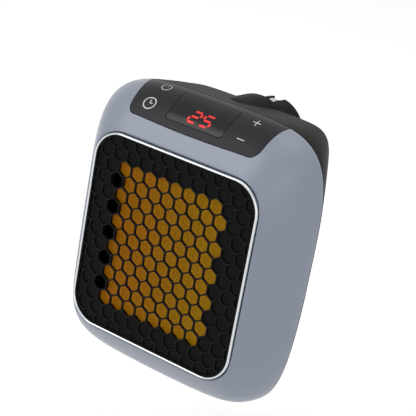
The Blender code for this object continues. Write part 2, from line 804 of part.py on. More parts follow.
def pocket_tool(name, outline, depth, frame):
    """Cuts an outline into the front skin down to one depth under its surface."""
    tool = as_tool(top_prism(name, outline), frame)
    return cut(tool, as_tool(front_core(name + "_floor", depth), frame))


def lattice():
    """Every cell of the honeycomb as (x, z, open), rows from the top down."""
    cells = []
    middle_row = (OPEN_ROWS - 1) / 2
    for row in range(-BORDER_ROWS, OPEN_ROWS + BORDER_ROWS):
        z = (middle_row - row) * ROW_PITCH
        shift = 1 / 4 if row % 2 else -1 / 4
        for column in range(-BORDER_COLUMNS, OPEN_COLUMNS + BORDER_COLUMNS):
            x = (column - (OPEN_COLUMNS - 1) / 2 + shift) * CELL_PITCH
            is_open = 0 <= row < OPEN_ROWS and 0 <= column < OPEN_COLUMNS
            cells.append((x, z, is_open, row, column))
    return cells


def hexagons(name, places, front, rear, front_share, rear_share):
    """Six-sided tapered cutters with a corner at the top, one at each (x, z) place."""
    corner_radius = CELL_PITCH / math.sqrt(3)
    bm = bmesh.new()
    for x, z in places:
        add_rod(
            bm,
            corner_radius * rear_share,
            front,
            rear,
            x,
            z,
            segments=6,
            front_radius=corner_radius * front_share,
        )
    return object_from(name, bm)


def honeycomb_block(name, places, front, rear):
    """One solid over many cells: their whole hexagons, edge to edge, thickened along Y."""
    corner_radius = CELL_PITCH / math.sqrt(3)
    bm = bmesh.new()
    for x, z in places:
        points = []
        for step in range(6):
            turn = step / 6 * FULL_TURN + QUARTER_TURN
            points.append((x + corner_radius * math.cos(turn), front, z + corner_radius * math.sin(turn)))
        bm.faces.new([bm.verts.new(point) for point in points])
    bmesh.ops.remove_doubles(bm, verts=bm.verts, dist=WELD)
    made = bmesh.ops.extrude_face_region(bm, geom=bm.faces, use_keep_orig=True)
    moved = [item for item in made["geom"] if isinstance(item, bmesh.types.BMVert)]
    bmesh.ops.translate(bm, vec=(0, rear - front, 0), verts=moved)
    bmesh.ops.recalc_face_normals(bm, faces=bm.faces)
    return object_from(name, bm)


def in_window(x, z, half_width, half_height, corner):
    """Whether a point lies inside a rounded rectangle."""
    beyond_x = max(abs(x) - half_width + corner, 0)
    beyond_z = max(abs(z) - half_height + corner, 0)
    return math.hypot(beyond_x, beyond_z) < corner


def make_grille(frame, finish):
    """The honeycomb grille: open cells over the element, blind pockets round them, a rear flange."""
    grille = as_part(
        plate(
            "grille",
            rounded_rectangle(GRILLE_HALF_WIDTH, GRILLE_HALF_HEIGHT, GRILLE_CORNER),
            0,
            GRILLE_REAR,
        ),
        finish,
        frame,
    )
    flange = rounded_rectangle(
        GRILLE_HALF_WIDTH + FLANGE_REACH,
        GRILLE_HALF_HEIGHT + FLANGE_REACH,
        GRILLE_CORNER + FLANGE_REACH,
    )
    tool = plate("grille_flange", flange, FLANGE_FRONT, GRILLE_REAR + CLEARANCE)
    join(grille, as_tool(tool, frame))
    inside = rounded_rectangle(
        GRILLE_HALF_WIDTH - GRILLE_WALL,
        GRILLE_HALF_HEIGHT - GRILLE_WALL,
        GRILLE_CORNER - GRILLE_WALL,
    )
    cut(grille, as_tool(plate("grille_cavity", inside, GRILLE_PLATE, GRILLE_REAR + OVERRUN), frame))
    open_places = [(x, z) for x, z, is_open, _, _ in lattice() if is_open]
    recess = honeycomb_block("grille_recess", open_places, GRILLE_OPEN_PLATE, GRILLE_PLATE + OVERRUN)
    cut(grille, as_tool(recess, frame))
    taper = (OPEN_REAR_SHARE - OPEN_FRONT_SHARE) / GRILLE_PLATE * CLEARANCE
    open_cells = hexagons(
        "grille_cells",
        open_places,
        -CLEARANCE,
        GRILLE_PLATE + CLEARANCE,
        OPEN_FRONT_SHARE - taper,
        OPEN_REAR_SHARE + taper,
    )
    cut(grille, as_tool(open_cells, frame))
    rim = (
        GRILLE_HALF_WIDTH - GRILLE_RIM,
        GRILLE_HALF_HEIGHT - GRILLE_RIM,
        GRILLE_CORNER - GRILLE_RIM,
    )
    shallow = []
    deep = []
    for x, z, is_open, row, column in lattice():
        if is_open or not in_window(x, z, *rim):
            continue
        beside = column == -1 and 0 <= row < OPEN_ROWS and row % 2 == 0
        (deep if beside else shallow).append((x, z))
    window = as_tool(plate("grille_window", rounded_rectangle(*rim), -OVERRUN, GRILLE_REAR), frame)
    for name, places, depth in (
        ("grille_pockets", shallow, POCKET_DEPTH),
        ("grille_deep_pockets", deep, DEEP_POCKET_DEPTH),
    ):
        pockets = hexagons(name, places, -CLEARANCE, depth, POCKET_SHARE, POCKET_SHARE)
        keep(as_tool(pockets, frame), window)
        cut(grille, pockets)


def make_trim(frame, finish):
    """The bright ring: one section swept round a rounded rectangle."""
    half = TRIM_WIDTH / 2
    rear = REBATE_DEPTH - CLEARANCE
    profile = [
        (half, rear),
        (half, TRIM_LOW_SHOULDER),
        *((out_share * half, -crest_share * TRIM_CREST) for out_share, crest_share in TRIM_FACE_SHARES),
        (-half, rear),
    ]
    inner = rounded_rectangle(
        TRIM_HALF_WIDTH - TRIM_WIDTH, TRIM_HALF_HEIGHT - TRIM_WIDTH, TRIM_CORNER - TRIM_WIDTH
    )
    outer = rounded_rectangle(TRIM_HALF_WIDTH, TRIM_HALF_HEIGHT, TRIM_CORNER)
    sections = []
    for near, far in zip(inner, outer):
        section = []
        for outward, depth in profile:
            place = Vector(near).lerp(Vector(far), (outward + half) / TRIM_WIDTH)
            section.append((place.x, depth, place.y))
        sections.append(section)
    as_part(ring_sweep("trim_ring", sections), finish, frame)


def make_front_shell(frame, finish):
    """The front half of the housing, with its ledge, bosses, and the seat of the control panel."""
    shell = as_part(front_skin("front_shell", SKIN_WALL), finish, frame)
    past_seam = beyond_seam("behind_front_shell", SEAM_DEPTH, SEAM_DEPTH + 3 * OVERRUN)
    cut(shell, as_tool(past_seam, frame))
    ledge = plate(
        "shell_ledge",
        rounded_rectangle(
            TRIM_HALF_WIDTH + LEDGE_REACH, TRIM_HALF_HEIGHT + LEDGE_REACH, TRIM_CORNER + LEDGE_REACH
        ),
        REBATE_DEPTH - CLEARANCE,
        LEDGE_REAR,
        holes=[
            rounded_rectangle(
                GRILLE_HALF_WIDTH + CLEARANCE, GRILLE_HALF_HEIGHT + CLEARANCE, GRILLE_CORNER + CLEARANCE
            )
        ],
    )
    inside = as_tool(ledge, frame)
    cover_bosses = rods(
        "shell_cover_bosses", COVER_BOSS_RADIUS, LEDGE_REAR - CLEARANCE, BOSS_REAR, COVER_SCREW_PLACES
    )
    join(inside, as_tool(cover_bosses, frame))
    deck_bosses = rods(
        "shell_deck_bosses", DECK_BOSS_RADIUS, REBATE_DEPTH + CLEARANCE, DECK_BOSS_REAR, DECK_SCREW_PLACES
    )
    join(inside, as_tool(deck_bosses, frame))
    seat = as_tool(top_prism("panel_seat", panel_outline(-PANEL_SEAT_MARGIN, BOSS_REAR)), frame)
    seat_floor = PANEL_WALL + CLEARANCE + PANEL_SEAT_WALL
    cut(seat, as_tool(front_core("panel_seat_floor", seat_floor), frame))
    join(inside, seat)
    keep(inside, as_tool(front_core("shell_inner_limit", BOSS_SKIN_COVER), frame))
    join(shell, inside)
    rebate = rounded_rectangle(
        TRIM_HALF_WIDTH + CLEARANCE, TRIM_HALF_HEIGHT + CLEARANCE, TRIM_CORNER + CLEARANCE
    )
    cut(shell, as_tool(plate("shell_rebate", rebate, -OVERRUN, REBATE_DEPTH), frame))
    cut(shell, pocket_tool("panel_pocket", panel_outline(), PANEL_WALL + CLEARANCE, frame))
    opening = panel_outline(PANEL_SEAT_WIDTH, SEAM_DEPTH - PANEL_SEAT_WIDTH)
    cut(shell, as_tool(top_prism("panel_opening", opening), frame))
    for name, places, rear in (
        ("shell_cover_pilots", COVER_SCREW_PLACES, BOSS_REAR),
        ("shell_deck_pilots", DECK_SCREW_PLACES, DECK_BOSS_REAR),
    ):
        pilots = rods(
            name,
            SCREW_RADIUS + CLEARANCE,
            rear - SCREW_BITE - SCREW_END_GAP,
            rear + OVERRUN,
            places,
            SCREW_SEGMENTS,
        )
        cut(shell, as_tool(pilots, frame))


def make_panel(frame, board_frame, finish):
    """The control panel: a piece of the skin itself, with the window's step and two board posts."""
    panel = as_part(front_skin("control_panel", PANEL_WALL), finish, frame)
    keep(panel, as_tool(top_prism("panel_edge", panel_outline(CLEARANCE, SEAM_DEPTH)), frame))
    post_base = BOARD_TOP_FACE + CLEARANCE
    posts = rods_up(
        "panel_posts",
        PANEL_POST_RADIUS,
        post_base,
        post_base + PANEL_POST_HEIGHT,
        [(-PANEL_POST_X, 0), (PANEL_POST_X, 0)],
    )
    join(panel, as_tool(posts, board_frame))
    cut(panel, pocket_tool("window_pocket", window_outline(), LENS_THICKNESS + CLEARANCE, frame))
    cut(panel, as_tool(top_prism("window_opening", window_outline(WINDOW_STEP)), frame))
    pilots = rods_up(
        "panel_pilots",
        PANEL_SCREW_RADIUS + CLEARANCE,
        0,
        post_base + PANEL_SCREW_BITE + CLEARANCE,
        [(-PANEL_POST_X, 0), (PANEL_POST_X, 0)],
    )
    cut(panel, as_tool(pilots, board_frame))


def make_lens(frame, finish):
    """The clear window over the display, flush with the panel."""
    lens = as_part(front_skin("display_lens", LENS_THICKNESS), finish, frame)
    keep(lens, as_tool(top_prism("lens_edge", window_outline(CLEARANCE)), frame))


def rods_up(name, radius, low, high, places, segments=SMALL_SEGMENTS):
    """Equal cylinders along the board frame's Z, one at each (x, y) place."""
    bm = bmesh.new()
    for x, y in places:
        bmesh.ops.create_cone(
            bm,
            cap_ends=True,
            segments=segments,
            radius1=radius,
            radius2=radius,
            depth=high - low,
            matrix=Matrix.Translation((x, y, (low + high) / 2)),
        )
    return object_from(name, bm)


def make_control_board(board_frame, board_finish, display_finish, spring_finish, screw_finish):
    """The board under the panel, its display, the four key springs and its screws."""
    board = box(
        "control_board",
        (-BOARD_HALF_WIDTH, -BOARD_HALF_LENGTH, -BOARD_TOP_FACE),
        (BOARD_HALF_WIDTH, BOARD_HALF_LENGTH, BOARD_TOP_FACE),
    )
    as_part(board, board_finish, board_frame)
    places = [(-PANEL_POST_X, 0), (PANEL_POST_X, 0)]
    holes = rods_up(
        "control_board_holes",
        PANEL_SCREW_RADIUS + CLEARANCE,
        -BOARD_THICKNESS,
        BOARD_THICKNESS,
        places,
        SCREW_SEGMENTS,
    )
    cut(board, as_tool(holes, board_frame))
    display_base = BOARD_TOP_FACE + CLEARANCE
    display = box(
        "display_module",
        (DISPLAY_X - DISPLAY_HALF_WIDTH, DISPLAY_ALONG - DISPLAY_HALF_LENGTH, display_base),
        (
            DISPLAY_X + DISPLAY_HALF_WIDTH,
            DISPLAY_ALONG + DISPLAY_HALF_LENGTH,
            display_base + DISPLAY_HEIGHT,
        ),
    )
    as_part(display, display_finish, board_frame)
    for name, side, along in (
        ("touch_spring_power", -1, 1),
        ("touch_spring_timer", -1, -1),
        ("touch_spring_plus", 1, 1),
        ("touch_spring_minus", 1, -1),
    ):
        spring = key_spring(name)
        spring.location = (side * KEY_X, along * KEY_ALONG, BOARD_TOP_FACE + CLEARANCE)
        as_part(spring, spring_finish, board_frame)
    for name, (x, y) in zip(("panel_screw_left", "panel_screw_right"), places):
        head_top = -BOARD_TOP_FACE - CLEARANCE
        screw = rods_up(
            name, PANEL_SCREW_HEAD_RADIUS, head_top - PANEL_SCREW_HEAD, head_top, [(x, y)], SCREW_SEGMENTS
        )
        shank = rods_up(
            name + "_shank",
            PANEL_SCREW_RADIUS,
            head_top - PANEL_SCREW_HEAD / 2,
            BOARD_TOP_FACE + CLEARANCE + PANEL_SCREW_BITE,
            [(x, y)],
            SCREW_SEGMENTS,
        )
        as_part(screw, screw_finish, board_frame)
        join(screw, as_tool(shank, board_frame))


def key_spring(name):
    """A short coil spring of round wire that carries a key's touch from the panel to the board."""
    curve = bpy.data.curves.new(name, "CURVE")
    curve.dimensions = "3D"
    curve.bevel_depth = KEY_SPRING_WIRE
    curve.bevel_resolution = 1
    curve.use_fill_caps = True
    spline = curve.splines.new("POLY")
    count = KEY_SPRING_TURNS * KEY_SPRING_STEPS
    rise = KEY_SPRING_HEIGHT - 2 * KEY_SPRING_WIRE
    spline.points.add(count)
    for step, point in enumerate(spline.points):
        angle = step / KEY_SPRING_STEPS * FULL_TURN
        point.co = (
            (KEY_SPRING_RADIUS - KEY_SPRING_WIRE) * math.cos(angle),
            (KEY_SPRING_RADIUS - KEY_SPRING_WIRE) * math.sin(angle),
            KEY_SPRING_WIRE + rise * step / count,
            1,
        )
    return bpy.data.objects.new(name, curve)


def bar_and_fin_places():
    """The middles of the heating bars and of the fin banks, side by side across the frame."""
    fin_count = BAR_COUNT + 1
    whole = fin_count * FIN_WIDTH + BAR_COUNT * (BAR_WIDTH + 2 * CLEARANCE)
    pitch = FIN_WIDTH + BAR_WIDTH + 2 * CLEARANCE
    first_fin = (FIN_WIDTH - whole) / 2
    fins = [first_fin + i * pitch for i in range(fin_count)]
    bars = [first_fin + (i + 1 / 2) * pitch for i in range(BAR_COUNT)]
    return bars, fins


def make_element(frame, frame_finish, bar_finish, fin_finish):
    """The heating element: upright bars with folded fins between them, in a heatproof frame."""
    bars, fins = bar_and_fin_places()
    holder = plate(
        "element_frame",
        rounded_rectangle(FRAME_HALF_WIDTH, FRAME_HALF_HEIGHT, FRAME_CORNER, CORNER_STEPS // 2),
        FRAME_FRONT,
        FRAME_REAR,
    )
    as_part(holder, frame_finish, frame)
    window = box(
        "element_window",
        (-FRAME_WINDOW_HALF_WIDTH, -OVERRUN, -FRAME_WINDOW_HALF_HEIGHT),
        (FRAME_WINDOW_HALF_WIDTH, FRAME_REAR + OVERRUN, FRAME_WINDOW_HALF_HEIGHT),
    )
    cut(holder, as_tool(window, frame))
    tab_middle = GRILLE_REAR + 3 * CLEARANCE + TAB_WIDTH / 2
    for number, x in enumerate(bars, 1):
        socket_half = BAR_WIDTH / 2 + CLEARANCE
        socket_end = BAR_HALF_HEIGHT + CLEARANCE
        socket = box(
            f"bar_socket_{number}",
            (x - socket_half, -OVERRUN, -socket_end),
            (x + socket_half, BAR_REAR + CLEARANCE, socket_end),
        )
        cut(holder, as_tool(socket, frame))
        tab_half = TAB_THICKNESS / 2 + CLEARANCE
        tab_reach = TAB_WIDTH / 2 + CLEARANCE
        tab_slot = box(
            f"tab_slot_{number}",
            (x - tab_half, tab_middle - tab_reach, 0),
            (x + tab_half, tab_middle + tab_reach, FRAME_HALF_HEIGHT + OVERRUN),
        )
        cut(holder, as_tool(tab_slot, frame))
        bar = box(
            f"heating_bar_{number}",
            (x - BAR_WIDTH / 2, BAR_FRONT, -BAR_HALF_HEIGHT),
            (x + BAR_WIDTH / 2, BAR_REAR, BAR_HALF_HEIGHT),
        )
        as_part(bar, bar_finish, frame)
        tab = box(
            f"bar_tab_{number}",
            (x - TAB_THICKNESS / 2, tab_middle - TAB_WIDTH / 2, BAR_HALF_HEIGHT - OVERRUN),
            (x + TAB_THICKNESS / 2, tab_middle + TAB_WIDTH / 2, FRAME_HALF_HEIGHT + TAB_REACH),
        )
        join(bar, as_tool(tab, frame))
    for number, x in enumerate(fins, 1):
        bank = plate(f"fin_bank_{number}", fin_outline(), FIN_FRONT, FIN_REAR)
        bank.location.x = x
        as_part(bank, fin_finish, frame)


def fin_outline():
    """One folded fin sheet as (x, z): level runs from side to side, joined at alternate ends."""
    count = round(2 * FIN_HALF_HEIGHT / FIN_PITCH)
    half = (FIN_WIDTH - FIN_SHEET) / 2
    half_height = FIN_HALF_HEIGHT - FIN_SHEET / 2
    path = []
    for run in range(count + 1):
        z = between(-half_height, half_height, run / count)
        side = 1 if run % 2 else -1
        path.append((side * half, z))
        path.append((-side * half, z))
    return ribbon(path, FIN_SHEET)


def make_safety_parts(frame, body_finish, metal_finish):
    """The thermostat on the deck and the fuse beside the element frame."""
    cutout = turned(
        "thermal_cutout",
        [
            (0, DECK_BOSS_REAR - CUTOUT_HEIGHT - CUTOUT_CAP),
            (CUTOUT_CAP_RADIUS, DECK_BOSS_REAR - CUTOUT_HEIGHT - CUTOUT_CAP),
            (CUTOUT_CAP_RADIUS, DECK_BOSS_REAR - CUTOUT_HEIGHT),
            (CUTOUT_RADIUS, DECK_BOSS_REAR - CUTOUT_HEIGHT),
            (CUTOUT_RADIUS, DECK_BOSS_REAR),
            (0, DECK_BOSS_REAR),
        ],
        SMALL_SEGMENTS,
        x=CUTOUT_X,
    )
    as_part(cutout, body_finish, frame)
    fuse_x = FRAME_HALF_WIDTH + CLEARANCE + FUSE_RADIUS
    fuse = turned(
        "thermal_fuse",
        [
            (0, -FUSE_HALF_LENGTH - FUSE_LEAD),
            (FUSE_LEAD_RADIUS, -FUSE_HALF_LENGTH - FUSE_LEAD),
            (FUSE_LEAD_RADIUS, -FUSE_HALF_LENGTH),
            (FUSE_RADIUS, -FUSE_HALF_LENGTH),
            (FUSE_RADIUS, FUSE_HALF_LENGTH),
            (FUSE_LEAD_RADIUS, FUSE_HALF_LENGTH),
            (FUSE_LEAD_RADIUS, FUSE_HALF_LENGTH + FUSE_LEAD),
            (0, FUSE_HALF_LENGTH + FUSE_LEAD),
        ],
        SCREW_SEGMENTS,
    )
    fuse.rotation_euler.x = 0
    fuse.location = (-fuse_x, FUSE_DEPTH, 0)
    as_part(fuse, metal_finish, frame)


def make_screws(frame, finish):
    """The deck screws and the long-reach cover screws, each its own piece."""
    names = ("left_bottom", "left_top", "right_bottom", "right_top")
    cover_names = ("left_top", "left_bottom", "right_top", "right_bottom")
    for group, labels, places, seat, tip in (
        ("deck_screw", names, DECK_SCREW_PLACES, DECK_REAR, DECK_BOSS_REAR - SCREW_BITE),
        ("cover_screw", cover_names, COVER_SCREW_PLACES, WELL_SEAT, BOSS_REAR - SCREW_BITE),
    ):
        for label, (x, z) in zip(labels, places):
            head = seat + CLEARANCE
            screw = turned(
                f"{group}_{label}",
                [
                    (0, tip),
                    (SCREW_RADIUS / 2, tip),
                    (SCREW_RADIUS, tip + SCREW_RADIUS),
                    (SCREW_RADIUS, head),
                    (SCREW_HEAD_RADIUS, head),
                    (SCREW_HEAD_RADIUS, head + SCREW_HEAD / 2),
                    (SCREW_HEAD_RADIUS / 2, head + SCREW_HEAD),
                    (0, head + SCREW_HEAD),
                ],
                SCREW_SEGMENTS,
                x=x,
                z=z,
            )
            as_part(screw, finish, frame)


def make_duct(frame, finish):
    """The deck across the housing with the fan's duct, flared at its inlet, on its rear side."""
    middle = DUCT_RADIUS + DUCT_WALL / 2
    holes = [circle(SCREW_RADIUS + CLEARANCE, x, z, SCREW_SEGMENTS) for x, z in DECK_SCREW_PLACES]
    duct = plate(
        "fan_duct",
        rounded_rectangle(DECK_HALF_WIDTH, DECK_HALF_HEIGHT, DECK_CORNER, CORNER_STEPS // 2),
        DECK_FRONT,
        DECK_REAR,
        holes=[circle(middle, segments=FAN_SEGMENTS), *holes],
    )
    as_part(duct, finish, frame)
    ring = turned(
        "duct_ring",
        [
            (DUCT_RADIUS + DUCT_WALL, DECK_FRONT + CLEARANCE),
            (DUCT_RADIUS + DUCT_WALL, DUCT_REAR),
            (DUCT_RADIUS, DUCT_REAR),
            (DUCT_RADIUS, DECK_REAR),
            (DUCT_RADIUS + CLEARANCE, DECK_FRONT + CLEARANCE),
        ],
        FAN_SEGMENTS,
        ring=True,
    )
    join(duct, as_tool(ring, frame))


def blade_section(share):
    """The closed ring of points of one blade at a share of its length from root to tip."""
    root_radius = HUB_RADIUS - HUB_WALL / 2
    radius = between(root_radius, BLADE_TIP_RADIUS, share)
    chord = between(BLADE_ROOT_CHORD, BLADE_TIP_CHORD, share)
    pitch = between(BLADE_ROOT_PITCH, BLADE_TIP_PITCH, share)
    middle = (HUB_FRONT + HUB_REAR) / 2
    upper = []
    lower = []
    for step in range(BLADE_CHORD_STEPS + 1):
        along = step / BLADE_CHORD_STEPS - 1 / 2
        arch = 1 - 4 * along * along
        for side, row in ((1, upper), (-1, lower)):
            across = BLADE_CAMBER * arch + side * BLADE_THICKNESS / 2 * (1 + arch) / 2
            tangential = along * chord * math.cos(pitch) - across * math.sin(pitch)
            depth = middle + along * chord * math.sin(pitch) + across * math.cos(pitch)
            angle = tangential / radius + BLADE_SWEEP * share
            row.append((radius * math.sin(angle), depth, radius * math.cos(angle)))
    return upper + lower[::-1]


def make_fan(fan_frame, blade_finish, metal_finish):
    """The axial impeller with its cup hub and twisted, swept blades, and the motor's shaft."""
    hub = turned(
        "fan_impeller",
        [
            (0, HUB_FRONT),
            (HUB_RADIUS - HUB_NOSE, HUB_FRONT),
            (HUB_RADIUS, HUB_FRONT + HUB_NOSE),
            (HUB_RADIUS, HUB_REAR),
            (HUB_RADIUS - HUB_WALL, HUB_REAR),
            (HUB_RADIUS - HUB_WALL, HUB_FRONT + HUB_NOSE),
            (HUB_CORE_RADIUS, HUB_FRONT + HUB_WALL),
            (HUB_CORE_RADIUS, HUB_REAR),
            (0, HUB_REAR),
        ],
        FAN_SEGMENTS,
    )
    as_part(hub, blade_finish, fan_frame)
    blades = bmesh.new()
    for number in range(BLADE_COUNT):
        turn = Matrix.Rotation(number / BLADE_COUNT * FULL_TURN, 4, "Y")
        rows = []
        for station in range(BLADE_STATIONS):
            ring = blade_section(station / (BLADE_STATIONS - 1))
            rows.append([blades.verts.new(turn @ Vector(point)) for point in ring])
        for near, far in zip(rows, rows[1:]):
            for i in range(len(near)):
                j = (i + 1) % len(near)
                blades.faces.new((near[i], far[i], far[j], near[j]))
        blades.faces.new(rows[0])
        blades.faces.new(rows[-1][::-1])
    bmesh.ops.recalc_face_normals(blades, faces=blades.faces)
    join(hub, as_tool(object_from("impeller_blades", blades), fan_frame))
    bore = rods(
        "impeller_bore",
        SHAFT_RADIUS + CLEARANCE,
        SHAFT_FRONT - CLEARANCE,
        HUB_REAR + OVERRUN,
        [(0, 0)],
        SMALL_SEGMENTS,
    )
    cut(hub, as_tool(bore, fan_frame))
    shaft = rods("motor_shaft", SHAFT_RADIUS, SHAFT_FRONT, SHAFT_REAR, [(0, 0)], SMALL_SEGMENTS)
    as_part(shaft, metal_finish, fan_frame)


def bracket_window(number):
    """The air window between two arms of the bracket, from its hub disc out to its ring."""
    first = (number - 1 / 4) / BRACKET_ARMS * FULL_TURN
    last = first + FULL_TURN / BRACKET_ARMS
    points = []
    for radius, steps in ((DUCT_RADIUS, FAN_SEGMENTS // BRACKET_ARMS), (BRACKET_DISC_RADIUS, CORNER_STEPS)):
        beside_arm = math.asin(BRACKET_ARM_WIDTH / 2 / radius)
        arc = []
        for step in range(steps + 1):
            turn = between(first + beside_arm, last - beside_arm, step / steps)
            arc.append((radius * math.cos(turn), radius * math.sin(turn)))
        points += arc[::-1] if points else arc
    return points


def make_motor(frame, bracket_finish, motor_finish):
    """The motor behind the impeller, on a three-armed bracket across the duct's mouth."""
    bracket = plate(
        "motor_bracket",
        circle(DUCT_RADIUS + DUCT_WALL, segments=FAN_SEGMENTS),
        BRACKET_FRONT,
        BRACKET_REAR,
        holes=[circle(BRACKET_HOLE_RADIUS), *(bracket_window(i) for i in range(BRACKET_ARMS))],
    )
    as_part(bracket, bracket_finish, frame)
    rear = MOTOR_FRONT + MOTOR_LENGTH
    motor = turned(
        "motor_body",
        [
            (0, MOTOR_FRONT),
            (MOTOR_RADIUS - MOTOR_EDGE, MOTOR_FRONT),
            (MOTOR_RADIUS, MOTOR_FRONT + MOTOR_EDGE),
            (MOTOR_RADIUS, rear - MOTOR_EDGE),
            (MOTOR_RADIUS - MOTOR_EDGE, rear),
            (MOTOR_TAIL_RADIUS, rear),
            (MOTOR_TAIL_RADIUS, rear + MOTOR_TAIL),
            (0, rear + MOTOR_TAIL),
        ],
        FAN_SEGMENTS,
    )
    as_part(motor, motor_finish, frame)
    bore = rods(
        "motor_bore",
        SHAFT_RADIUS + CLEARANCE,
        MOTOR_FRONT - OVERRUN,
        SHAFT_REAR + CLEARANCE,
        [(0, 0)],
        SMALL_SEGMENTS,
    )
    cut(motor, as_tool(bore, frame))


def rear_skin(name):
    """The rear half's surface, from the seam to its closed back, thickened inwards."""
    edge_front = REAR_DEPTH - REAR_EDGE
    rings = []
    depths = [between(COVER_FRONT, edge_front, ring / REAR_RINGS) for ring in range(REAR_RINGS + 1)]
    for depth in (COVER_FRONT - OVERRUN, *depths):
        rings.append(inset_ring(rear_section(depth), depth, 0))
    for step in range(1, REAR_EDGE_STEPS + 1):
        angle = step / REAR_EDGE_STEPS * QUARTER_TURN
        depth = REAR_DEPTH - REAR_EDGE * (1 - math.sin(angle))
        rings.append(inset_ring(rear_section(depth), depth, REAR_EDGE * (1 - math.cos(angle))))
    made = loft(name, rings, capped=False)
    bm = bmesh.new()
    bm.from_mesh(made.data)
    bm.verts.ensure_lookup_table()
    count = len(rings[-1])
    bm.faces.new(bm.verts[-count:][::-1])
    bm.to_mesh(made.data)
    bm.free()
    smooth(made.data)
    return thicken(made, SKIN_WALL)


def make_tongue(frame):
    """The ring inside the rear cover's rim that slides into the front shell."""
    outer = SKIN_WALL + 2 * CLEARANCE
    inner = outer + TONGUE_THICKNESS
    root_front = COVER_FRONT + CLEARANCE
    root_rear = root_front + TONGUE_ROOT
    tip = front_section((TONGUE_FRONT - LIP_DEPTH) / (SEAM_DEPTH - LIP_DEPTH))
    root = rear_section(root_rear)
    profile = (
        (tip, TONGUE_FRONT, outer + TONGUE_TAPER),
        (SEAM, root_front, outer),
        (SEAM, root_front, TONGUE_ROOT_INSET),
        (root, root_rear, TONGUE_ROOT_INSET),
        (root, root_rear, inner),
        (tip, TONGUE_FRONT, inner + TONGUE_TAPER),
    )
    rings = [inset_ring(section, depth, inset) for section, depth, inset in profile]
    tongue = as_tool(ring_sweep("cover_tongue", list(zip(*rings))), frame)
    gap = box(
        "tongue_gap",
        (-TONGUE_GAP_HALF_WIDTH, TONGUE_FRONT - OVERRUN, TONGUE_GAP_BOTTOM),
        (TONGUE_GAP_HALF_WIDTH, root_rear + OVERRUN, SEAM_TOP + OVERRUN),
    )
    return cut(tongue, as_tool(gap, frame))


def turret_shoulder(radius, front):
    """The rounded front edge of the turret as (radius, depth), from its front face outwards."""
    points = []
    for step in range(TURRET_SHOULDER_STEPS + 1):
        angle = step / TURRET_SHOULDER_STEPS * QUARTER_TURN
        points.append(
            (
                radius - TURRET_SHOULDER * (1 - math.sin(angle)),
                front + TURRET_SHOULDER * (1 - math.cos(angle)),
            )
        )
    return points


def make_rear_cover(frame, finish):
    """The rear half of the housing: tongue, screw wells, board posts, air slots and plug turret."""
    cover = as_part(rear_skin("rear_cover"), finish, frame)
    past_seam = beyond_seam("before_rear_cover", SEAM_DEPTH - 2 * OVERRUN, COVER_FRONT)
    cut(cover, as_tool(past_seam, frame))
    join(cover, make_tongue(frame))
    wells = rods("cover_wells", WELL_RADIUS, COVER_FRONT, REAR_INSIDE + CLEARANCE, COVER_SCREW_PLACES)
    join(cover, as_tool(wells, frame))
    posts = rods(
        "cover_posts",
        STANDOFF_RADIUS,
        STANDOFF_FRONT,
        REAR_INSIDE + CLEARANCE,
        [(side * STANDOFF_X, z) for side in (-1, 1) for z in (STANDOFF_TOP_Z, STANDOFF_BOTTOM_Z)],
        SCREW_SEGMENTS,
    )
    join(cover, as_tool(posts, frame))
    middle = TURRET_WALL / 2
    core = turned(
        "turret_core",
        [
            (0, TURRET_FRONT + middle),
            *turret_shoulder(TURRET_RADIUS - middle, TURRET_FRONT + middle),
            (TURRET_RADIUS - middle, TURRET_REAR + OVERRUN),
            (0, TURRET_REAR + OVERRUN),
        ],
        z=TURRET_Z,
    )
    cut(cover, as_tool(core, frame))
    inner_shoulder = turret_shoulder(TURRET_CAVITY_RADIUS, TURRET_CAVITY_FRONT)
    turret = turned(
        "turret",
        [
            (TURRET_WIRE_HOLE, TURRET_FRONT),
            *turret_shoulder(TURRET_RADIUS, TURRET_FRONT),
            (TURRET_RADIUS, TURRET_REAR),
            (TURRET_BORE_RADIUS, TURRET_REAR),
            (TURRET_BORE_RADIUS, TURRET_BORE_FRONT),
            (TURRET_CAVITY_RADIUS, TURRET_BORE_FRONT),
            *inner_shoulder[::-1],
            (TURRET_WIRE_HOLE, TURRET_CAVITY_FRONT),
        ],
        ring=True,
        z=TURRET_Z,
    )
    join(cover, as_tool(turret, frame))
    for name, radius, front, rear, places in (
        ("well_bores", WELL_RADIUS - WELL_WALL, WELL_SEAT, REAR_DEPTH + OVERRUN, COVER_SCREW_PLACES),
        ("well_holes", SCREW_RADIUS + CLEARANCE, 0, WELL_SEAT + OVERRUN, COVER_SCREW_PLACES),
        (
            "post_pilots",
            BOARD_SCREW_RADIUS + CLEARANCE,
            0,
            STANDOFF_FRONT + BOARD_SCREW_BITE + CLEARANCE,
            BOARD_SCREW_PLACES,
        ),
    ):
        cut(cover, as_tool(rods(name, radius, front, rear, places, SCREW_SEGMENTS), frame))
    cut(cover, as_tool(air_slots(), frame))


def air_slots():
    """Round-ended slots in rows and columns through the back, below the turret."""
    half_height = SLOT_HEIGHT / 2
    bm = bmesh.new()
    outline = rounded_rectangle(SLOT_LENGTH / 2, half_height, half_height, SLOT_END_STEPS)
    for column in range(SLOT_COLUMNS):
        x = (column - (SLOT_COLUMNS - 1) / 2) * (SLOT_LENGTH + SLOT_BRIDGE)
        for row in range(SLOT_ROWS):
            z = (row - (SLOT_ROWS - 1) / 2) * SLOT_PITCH
            ends = []
            for depth in (REAR_INSIDE - OVERRUN, REAR_DEPTH + OVERRUN):
                ends.append([bm.verts.new((x + across, depth, z + up)) for across, up in outline])
            near, far = ends
            for i in range(len(near)):
                j = (i + 1) % len(near)
                bm.faces.new((near[i], far[i], far[j], near[j]))
            bm.faces.new(near)
            bm.faces.new(far[::-1])
    bmesh.ops.remove_doubles(bm, verts=bm.verts, dist=WELD)
    return object_from("air_slots", bm)


